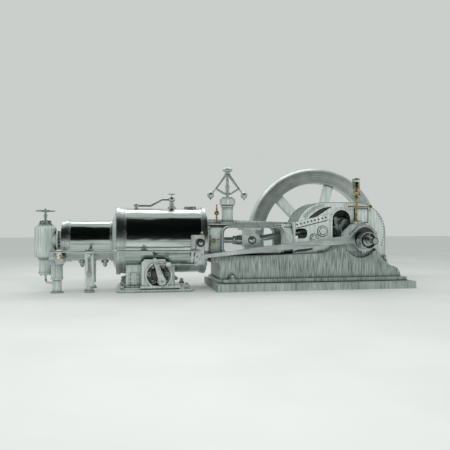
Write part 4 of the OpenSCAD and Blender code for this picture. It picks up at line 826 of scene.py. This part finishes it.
def window_beads():
    """Round beads that edge the moulded rims of the guide's windows, with a black line between them
    that is painted shade in the groove.
    """
    half_w, half_h, corner, x = 439, 181, 80, guide.x + 20
    for side, way in (("near", -1), ("far", 1)):
        y = guide.y1 * way
        outline = rounded(x, AXIS_Z, half_w + 7, half_h + 5, corner + 7)
        inner = pipe(f"inner_{side}", [(px, y, pz) for px, pz in outline], 5, closed=True)
        # The black line between the beads is painted shade in the groove between them
        middle = rounded(x, AXIS_Z, half_w + 18, half_h + 17, corner + 18)
        line = pipe(f"window_groove_shade_{side}", [(px, y, pz) for px, pz in middle if pz > 520], 5)
        japanned_and_shaded(line)
        outline = rounded(x, AXIS_Z, half_w + 29, half_h + 29, corner + 29)
        seat, long_gap = 516, 700
        above = [(px, pz) for px, pz in outline if pz > seat]
        # The outer bead starts and ends where the rim meets the bed
        first = next(n for n, (p, q) in enumerate(zip(above, above[1:]))
                     if math.dist(p, q) > long_gap and p[1] < AXIS_Z)
        above = above[first + 1:] + above[:first + 1]
        outer = pipe(f"outer_{side}", [(px, y, pz) for px, pz in above], 7)
        finish(join(f"window_beads_{side}", [inner, outer]), "engine", enamel)


def deck_shadow_line():
    """A black strip along both sides of the guide's deck: painted shadow under the deck's edge."""
    x0, x1, z0, z1, thin = guide.x0 + 30, guide.x1 - 192, 904, 934, 1.5
    for side, y in (("near", -150), ("far", 150)):
        strip = block(f"deck_shadow_line_{side}", (x0, y - thin, z0), (x1, y + thin, z1), ease=0.5)
        japanned_and_shaded(strip)


def bed_flange_shadow():
    """A black bead along the joint between the bed's flange and the foundation block: painted shadow
    under the flange.
    """
    x0, x1, y, z, cut = footing.x0 + 32, footing.x1 - 81, 520, footing.z1 + 5, 92
    corners = [(x0 + cut, -y), (x1, -y), (x1, y), (x0 + cut, y), (x0, y - cut), (x0, cut - y)]
    flange_shadow = pipe("bed_flange_shadow", [(px, py, z) for px, py in corners], 6, closed=True)
    japanned_and_shaded(flange_shadow)


def guide_cock():
    """Small cock on the guide beside its flange, with its handle and its bent spout."""
    x, z, y = guide.x0 + 107, AXIS_Z + 3, -236
    body = turned("cock_body", [(0, 0), (24, 0), (24, 10), (15, 13), (15, 26), (22, 31), (22, 50),
                                (14, 56), (10, 62), (0, 63)], (x, y, z), "-Y", 24)
    handle = pipe("cock_handle", [(x, y - 60, z), (x + 60, y - 60, z + 14)], 6)
    knob = turned("cock_knob", ball_outline(12), (x + 62, y - 60, z + 15), sides=16)
    spout = pipe("cock_spout", [(x, y - 38, z), (x - 46, y - 38, z + 8), (x - 46, y - 38, z - 46)],
                 8, bend=18)
    finish(join("guide_cock", [body, handle, knob, spout]), "engine", brass)


def foot_nuts():
    """Domed nuts on the holding-down bolts of the base plate, the bed and its toe, and
    hexagon nuts on the small cylinder's legs and the far pedestal."""
    corners = [(x, y, plate.z1 - 6) for x in (plate.x0 + 75, plate.x1 - 90)
               for y in (plate.y0 + 80, plate.y1 - 80)]
    fasten("base_plate_nuts", cap_nut(54), corners)
    ends = [(bed.x0 + 295, y, bed.z0 + 70) for y in (bed.y0 + 48, bed.y1 - 48)]
    fasten("bed_nuts", cap_nut(62), ends)
    x, top = 448, 410
    for y, side in ((-300, "near"), (300, "far")):
        boss = turned(f"toe_boss_{side}", [(0, 308), (46, 308), (46, top - 6), (42, top), (0, top)],
                      (x, y, 0), sides=32)
        finish(boss, "engine", bed_enamel)
        fasten(f"toe_nut_{side}", cap_nut(60), [(x, y, top)])
    legs_at = [(legs.x + dx, y, 22) for dx in (-50, 50) for y in (-286, 286)]
    posts = [(x, y, 40) for x in (-290, 290) for y in (outboard.y0 + 36, outboard.y1 - 36)]
    fasten("foot_nuts", hex_nut(22), legs_at)
    fasten("pedestal_nuts", hex_nut(34), posts)
    fasten("leg_pin_nuts", hex_nut(40), [(legs.x, -326, 265), (legs.x, 326, 265)],
           ["-Y", "Y"])


# Pieces on the bearings, the crank and the eccentric

def bearing_trim():
    """Cap nuts, brasses and oil cups of the two main bearings and the far pedestal."""
    places = [(dx, y + dy, near_bearing.z1 - 41) for dx in (-80, 80)
              for y in (near_bearing.y, far_bearing.y) for dy in (-42, 42)]
    places += [(dx, y, AXIS_Z + 30) for dx in (-158, 158)
               for y in (outboard.y0 + 105, outboard.y0 + 175)]
    fasten("bearing_cap_nuts", hex_nut(20), places)
    brasses = []
    for name, face, way in [("near", near_bearing.y0, "-Y"), ("far", far_bearing.y1, "Y"),
                            ("inner", outboard.y0 + 60, "-Y"),
                            ("outer", outboard.y1 - 60, "Y")]:
        brasses.append(turned(f"brass_{name}", [(75.5, -2), (96, -2), (96, 4), (93, 7), (75.5, 7)],
                              (SHAFT_X, face, AXIS_Z), way, 48, ring=True))
    finish(join("bearing_brasses", brasses), "engine", brass)
    cups = copies("bearing_cups", oil_cup(96), [(0, far_bearing.y, far_bearing.z1 - 1),
                                                (0, outboard.y, outboard.z1 - 2)])
    finish(cups, "engine", brass)


def eccentric_trim():
    """Nuts on both ends of the bolts through the eccentric strap's lugs."""
    bolts = [copies("lug_bolts", hex_nut(24), [(strap.x + dx, strap.y, z) for dx in (-20, 20)], way)
             for z, way in ((strap.z1, "Z"), (strap.z0, "-Z"))]
    bright(join("strap_bolts", bolts), "eccentric")


def shaft_end_trim():
    """Black ring round the bright end of the shaft, a black lining in the drum's recess that is
    painted shade, and the drum's rolled edges.
    """
    end = span("crank_near").y0
    ring = turned("shaft_end_ring", [(38.5, 0), (50, 0), (52, 3), (52, 13), (48, 16), (38.5, 16)],
                  (SHAFT_X, end + 20, AXIS_Z), "-Y", ring=True)
    japanned_and_shaded(ring, "crankshaft")
    # The black lining in the drum's recess is painted shade
    recess_shade = turned("drum_recess_shade", [
        (56, 22), (56, 25), (90.5, 25), (90.5, 3), (109, 3), (109, 47), (111.8, 47), (111.8, 0),
        (89.2, 0), (89.2, 22)], (SHAFT_X, drum.y0 + 50, AXIS_Z), "-Y", 64, ring=True)
    japanned_and_shaded(recess_shade, "crankshaft")
    edges = [turned(f"edge_{n}", bead_outline(119, 5.5), (SHAFT_X, y, AXIS_Z), "Y", 64, ring=True)
             for n, y in enumerate((drum.y0 + 5.5, drum.y1 - 5.5))]
    finish(join("drum_edges", edges), "crankshaft", bar_steel)


def big_end_nuts():
    """Flat hexagons on the ends of the big end's two long bolts."""
    tilt, reach = 8.758, 1630
    cos, sin = math.cos(math.radians(tilt)), math.sin(math.radians(tilt))
    flat_nut = [(0, 0), (31, 0), (33, 2), (33, 14), (29, 18), (0, 18)]
    made = []
    for n, across in enumerate((-118, 118)):
        place = (XHEAD_X + reach * cos - across * sin, 0, AXIS_Z + reach * sin + across * cos)
        made.append(turned(f"big_end_nut_{n}", flat_nut, place, (0, 90 - tilt, 0), sides=6))
    bright(join("big_end_nuts", made), "connecting_rod")


def crosshead_pin():
    """The crosshead pin's black washer and domed end, and the lock nut on the rod."""
    x = XHEAD_X
    for side, y, way in (("near", -124, "-Y"), ("far", 124, "Y")):
        washer = turned(f"pin_washer_{side}", [(46, -4), (60, -4), (60, 3), (56, 7), (46, 7)],
                        (x, y, AXIS_Z), way, ring=True)
        japanned_and_shaded(washer, "crosshead")
        dome = turned(f"pin_dome_{side}", [(0, -2), (45, -2), (45, 6), (36, 13), (20, 17), (0, 18)],
                      (x, y, AXIS_Z), way)
        finish(dome, "crosshead", bar_steel)
    flats = turned("rod_lock_nut", [(36, 0), (58, 0), (64, 5), (64, 27), (58, 32), (36, 32)],
                   (x - 274, 0, AXIS_Z), "X", sides=6, ring=True)
    bright(flats, "crosshead")


# Pieces on the hood, the oiler and the governor

def hood_rivets():
    """Bolts along the riveted band, rivets round the arch and along the hood's edge."""
    band = [(-926 + 56 * n, hood.y0 - 6, 937 + 13.6 * n) for n in range(9)]
    japanned_and_shaded(copies("band_bolts", round_head(13), band, "-Y"))
    edge = [(x, hood.y0, z) for x, z in bow(30, hood.z1 - 460, 436, 40, -26, 12) if z > 400]
    arch = [(x, hood.y0 - 2, z) for x, z in bow(ARCH_X, ARCH_Z, 162, 20, 168, 10)]
    japanned_and_shaded(copies("hood_rivets", round_head(8), edge + arch, "-Y"))


def hood_grille():
    """The row of small vent bars along the hood's shoulder, and under it the black sunk panel and
    black lines, which are painted shade and shadow."""
    y = hood.y0
    # The vent's black bed, painted shade in the gaps between its bars, then its bars, along an arc
    # that follows the hood's edge
    cx, cz, radius, start, end, count = -440, 772, 463, 98, 144, 24
    bed_line = bow(cx, cz, radius + 21, start, end, 16) + bow(cx, cz, radius - 21, end, start, 16)
    vent = cut_plate("vent_gap_shade", bed_line, 2, (0, y, 0), "-Y")
    bars = []
    for n in range(count):
        angle = start + (end - start) * (n + 0.5) / count
        bar = block("bar", (-5, -6, -19), (5, 0, 19), ease=1.5)
        (x, z), = bow(cx, cz, radius, angle, angle, 1)[:1]
        bars.append(settle(bar, f"vent_bar_{n}", (x, y, z), (0, 90 - angle, 0)))
    rails = [pipe(f"vent_rail_{n}", [(x, y - 3, z) for x, z in bow(cx, cz, r, start, end, 20)], 5)
             for n, r in enumerate((radius - 23, radius + 23))]
    finish(join("hood_vent", bars + rails), "engine", hood_lit_enamel)
    # The black panel: a long lens between the vent and the band, painted shade of a sunk recess
    lens = [(-748, 1016), (-716, 1066), (-640, 1124), (-560, 1170), (-500, 1192), (-430, 1204),
            (-375, 1206), (-434, 1176), (-555, 1098), (-620, 1058), (-676, 1032), (-720, 1016)]
    panel = cut_plate("hood_recess_shade", lens, 2, (0, y, 0), "-Y")
    # A black line under the riveted band, painted as the band's shadow
    line = cut_plate("band_shadow_line", [(-951, 875), (-447, 997), (-447, 1008), (-951, 886)], 1.5,
                     (0, y, 0), "-Y")
    japanned_and_shaded(join("hood_black_work", [vent, panel, line]))
    # Low on the same side, a second black lens over a raised bead, painted shade of a hollow, and
    # two black screws
    low = [(-985, 541), (-916, 566), (-786, 579), (-676, 588), (-690, 562), (-786, 540),
           (-975, 529)]
    slit = cut_plate("low_hollow_shade", low, 2, (0, y, 0), "-Y")
    dots = copies("low_screws", round_head(11), [(-586, y, 540), (-545, y, 544)], "-Y")
    japanned_and_shaded(join("hood_low_black_work", [slit, dots]))


def hood_covers():
    """Black rings round the two round covers on the hood's near side and in their grooves, painted
    shade, with their screws, and the raised door behind the oiler with a black line round it,
    painted shade at its edge."""
    y = hood.y0
    rings, screws = [], []
    # The black rings round each cover and in its groove are painted shade
    for n, (x, z, radius) in enumerate(((-527, 839, 75), (-660, 735, 60))):
        rings.append(turned(f"cover_shade_ring_{n}", [(radius + 0.5, 0), (radius + 9, 0), (radius + 9, 3),
                                                (radius + 0.5, 3)], (x, y, z), "-Y", ring=True))
        rings.append(turned(f"cover_groove_shade_{n}", [(0.64 * radius, 0), (0.72 * radius, 0),
                                                  (0.72 * radius, 1.5), (0.64 * radius, 1.5)],
                            (x, y - 14, z), "-Y", ring=True))
        screws += [(px, y - 14, pz) for px, _, pz in around(6, 0.85 * radius, (x, 0, z), "Y")]
    screws += [(-660 + dx, y - 26, 735 + dz) for dx, dz in ((-16, -12), (16, 12))]
    screws += [(-527, y - 26, 839)]
    x0, x1, z0, z1 = -10, 196, 978, 1180
    door = block("hood_door", (x0, y - 9, z0), (x1, y, z1), ease=4)
    finish(door, "engine", hood_lit_enamel)
    # The black line round the door is painted shade at its edge
    frame_line = [pipe("door_shade_line", [(x, y - 1, z) for x, z in
                                     rounded((x0 + x1) / 2, (z0 + z1) / 2, 113, 111, 14)],
                       5, closed=True)]
    japanned_and_shaded(join("cover_black_work", rings + frame_line))
    screws += [(x, y - 9, z) for x in (x0 + 16, (x0 + x1) / 2, x1 - 16) for z in (z0 + 16, z1 - 16)]
    fasten("cover_screws", round_head(7), screws, "-Y")


def oiler():
    """Sight-feed oiler: brass foot, stem, valve and lid round a glass full of oil."""
    x, y, foot, base, pipe_z = -20, near_bearing.y, near_bearing.z1, 1352, 1210
    stem = turned("stem", [
        (0, foot), (38, foot), (40, foot + 4), (40, foot + 16), (36, foot + 20), (19, foot + 26),
        (16, foot + 60), (16, 1190), (24, 1196), (25, 1236), (16, 1242), (16, base - 34),
        (30, base - 24), (50, base - 22), (52, base - 16), (50, base - 6), (34, base),
        (30, base + 20), (34, base + 34), (30, base + 50), (34, base + 66), (54, base + 70),
        (56, base + 78), (54, base + 87), (40, base + 92), (40, base + 118), (60, base + 124),
        (60, base + 134), (0, base + 134)], (x, y, 0), sides=40)
    lid = turned("lid", [(0, base + 266), (60, base + 266), (60, base + 274), (48, base + 277),
                         (42, base + 284), (20, base + 288), (0, base + 288)], (x, y, 0), sides=40)
    across = pipe("oil_pipe", [(x - 130, y, pipe_z), (x + 238, y, pipe_z)], 9)
    tee = turned("tee", [(0, 0), (20, 0), (20, 10), (14, 12), (14, 20), (20, 22), (20, 32), (0, 32)],
                 (x + 218, y, pipe_z), "X", 24)
    drop = pipe("drop", [(x + 225, y, pipe_z - 2), (x + 225, y, pipe_z - 80)], 8)
    collars = copies("collars", turned("collar", [(0, 0), (13, 0), (13, 10), (0, 10)], sides=20),
                     [(x + dx, y, pipe_z) for dx in (-132, -60, 120)], "X")
    knob = turned("knob", [(0, 0), (9, 0), (9, 14), (20, 16), (22, 22), (20, 28), (0, 30)],
                  (x + 32, y, base + 42), "X", 24)
    lever = pipe("lever", [(x - 30, y, base + 20), (x - 56, y, base + 20)], 6)
    top_nut = copies("top_nut", hex_nut(22), [(x + 225, y, pipe_z + 10)])
    metal = join("oiler_brass", [stem, lid, across, tee, drop, collars, knob, lever, top_nut])
    finish(metal, "engine", brass)
    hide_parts("bearing_oiler")
    bottle = turned("oiler_glass", [
        (55, base + 134), (58, base + 138), (58, base + 262), (55, base + 266), (52, base + 262),
        (52, base + 138)], (x, y, 0), sides=48, ring=True)
    finish(bottle, "engine", glass)
    fill = turned("oiler_oil", [(0, base + 134.5), (51, base + 134.5), (51, base + 226),
                                (0, base + 226)], (x, y, 0), sides=48)
    finish(fill, "engine", oil)


def governor_trim():
    """Collars, nuts and screws of the governor's column, and its small fastenings."""
    top = column.z1 - 140
    foot = column.z0
    levels = ((86, foot + 60), (86, top - 44), (114, top + 30), (114, top + 96))
    rings = [turned("column_ring", bead_outline(radius, 5), (column.x, 0, z), sides=56, ring=True)
             for radius, z in levels]
    finish(join("column_rings", rings), "engine", enamel)
    fasten("column_nuts", hex_nut(20), around(8, 101, (column.x, 0, foot + 24), "Z", start=22))
    count = 10
    fasten("housing_screws", round_head(7),
           around(count, 115.5, (column.x, 0, top + 63), "Z"),
           [(0, 90, 360 * n / count) for n in range(count)])
    pivots = [(column.x + s * 22, y, 1681) for s in (-1, 1) for y in (-33.5, 33.5)]
    fasten("pivot_nuts", hex_nut(16), pivots, ["-Y", "Y", "-Y", "Y"], "governor_head")
    for side, way in (("left", -1), ("right", 1)):
        arm = span(f"governor_arm_{side}")
        ball_x = arm.x0 + 53 if way < 0 else arm.x1 - 53
        drop = turned("ball_drop", [(0, 0), (14, 0), (16, 6), (9, 10), (10, 16), (6, 22), (0, 24)],
                      (ball_x, 0, arm.z0 + 3), "-Z", 20)
        places = [(column.x + way * 174, y, 1475) for y in (-47.5, 47.5)]
        joints = copies("joint_nuts", hex_nut(12), places, ["-Y", "Y"])
        bright(join(f"arm_fastenings_{side}", [drop, joints]), f"governor_arm_{side}")


# Camera, floor and light

def camera_and_room():
    """The photograph's view, a pale floor with the flywheel's pit, and soft light."""
    camera = bpy.data.objects.new("camera", bpy.data.cameras.new("camera"))
    bpy.context.scene.collection.objects.link(camera)
    camera.location = (-3.432, -7.866, 0.902)
    camera.rotation_euler = (math.radians(90), 0, math.radians(-10.5))
    camera.data.lens = 42.64
    camera.data.shift_y = 0.0044
    bpy.context.scene.camera = camera
    bpy.context.scene.view_settings.view_transform = "Standard"

    # The floor is four slabs round the pit, and the pit has walls and a bottom
    pit_x, pit_y, pit_deep = (wheel.x0 - 90, wheel.x1 + 90), (wheel.y0 - 70, wheel.y1 + 70), 700
    far, thick = 40000, 20
    slabs = [
        ((-far, -far, -thick), (far, pit_y[0], 0)), ((-far, pit_y[1], -thick), (far, far, 0)),
        ((-far, pit_y[0], -thick), (pit_x[0], pit_y[1], 0)),
        ((pit_x[1], pit_y[0], -thick), (far, pit_y[1], 0)),
        ((pit_x[0] - 50, pit_y[0] - 50, -pit_deep - 50), (pit_x[1] + 50, pit_y[1] + 50, -pit_deep)),
        ((pit_x[0] - 50, pit_y[0] - 50, -pit_deep), (pit_x[0], pit_y[1] + 50, -thick)),
        ((pit_x[1], pit_y[0] - 50, -pit_deep), (pit_x[1] + 50, pit_y[1] + 50, -thick)),
        ((pit_x[0], pit_y[0] - 50, -pit_deep), (pit_x[1], pit_y[0], -thick)),
        ((pit_x[0], pit_y[1], -pit_deep), (pit_x[1], pit_y[1] + 50, -thick)),
    ]
    floor = join("floor", [block(f"slab_{i}", low, high, ease=1)
                           for i, (low, high) in enumerate(slabs)])
    paint, tree, shader, place = new_material("floor_paint", Roughness=0.75)
    cloudy = add(tree, "ShaderNodeTexNoise", {"Vector": place}, {"Scale": 0.8, "Detail": 3.0})
    colour(tree, shader, cloudy.outputs["Fac"], "#e0e2e1", "#e6e8e7")
    floor.data.materials.append(paint)

    # Dark cloths in front and overhead, as in a photographer's studio: polished sheet
    # shows them as the dark band between the light above and the floor below. They are
    # seen in reflections alone, and take no light from the engine
    cloth = join("dark_cloth", [
        block("front_cloth", (-16000, -13050, 1700), (12000, -13000, 8000), ease=5),
        block("top_cloth", (-16000, -13000, 7950), (12000, -600, 8000), ease=5)])
    velvet, tree, shader, place = new_material("black_velvet", Roughness=1.0,
                                               Specular_IOR_Level=0.0)
    nap = add(tree, "ShaderNodeTexNoise", {"Vector": place}, {"Scale": 60.0})
    colour(tree, shader, nap.outputs["Fac"], "#0a0f0d", "#121815")
    cloth.data.materials.append(velvet)
    cloth.visible_camera = cloth.visible_diffuse = cloth.visible_shadow = False

    world = bpy.data.worlds.new("studio")
    bpy.context.scene.world = world
    world.use_nodes = True
    world.node_tree.nodes["Background"].inputs["Color"].default_value = linear("#dfe4e1")
    world.node_tree.nodes["Background"].inputs["Strength"].default_value = 0.8

    # Soft boxes: a long one high in front whose own mirror image is flagged off, one at
    # each end, and a broad one above and behind that edges the tops
    boxes = [
        ("front_box", (-3.6, -6.5, 5.2), (-2.2, 0.0, 0.6), 7.0, 2.0, 224.0, False),
        ("left_box", (-9.5, -4.0, 3.4), (-3.5, 0.0, 0.8), 2.5, 2.5, 24.0, False),
        ("right_box", (5.5, -4.0, 3.0), (0.0, 0.5, 0.7), 2.0, 2.5, 24.0, True),
        ("top_box", (-2.0, 3.5, 5.6), (-2.0, 0.3, 0.9), 7.0, 2.5, 104.0, True),
    ]
    for name, at, aim, size_x, size_y, power, mirrored in boxes:
        lamp = bpy.data.lights.new(name, "AREA")
        lamp.shape, lamp.size, lamp.size_y, lamp.energy = "RECTANGLE", size_x, size_y, power
        holder = bpy.data.objects.new(name, lamp)
        bpy.context.scene.collection.objects.link(holder)
        holder.location = at
        holder.rotation_euler = (Vector(aim) - Vector(at)).to_track_quat("-Z", "Y").to_euler()
        holder.visible_glossy = mirrored


cover_nuts()
guide_nuts()
band_screws()
lagging_edges()
cylinder_drains()
saddle_cover()
stop_valve_trim()
relief_trim()
gear_pins()
rod_fittings()
bracket_trim()
valve_bonnet_in_stand()
window_beads()
deck_shadow_line()
bed_flange_shadow()
guide_cock()
foot_nuts()
bearing_trim()
eccentric_trim()
shaft_end_trim()
big_end_nuts()
crosshead_pin()
hood_rivets()
hood_grille()
hood_covers()
oiler()
governor_trim()
camera_and_room()
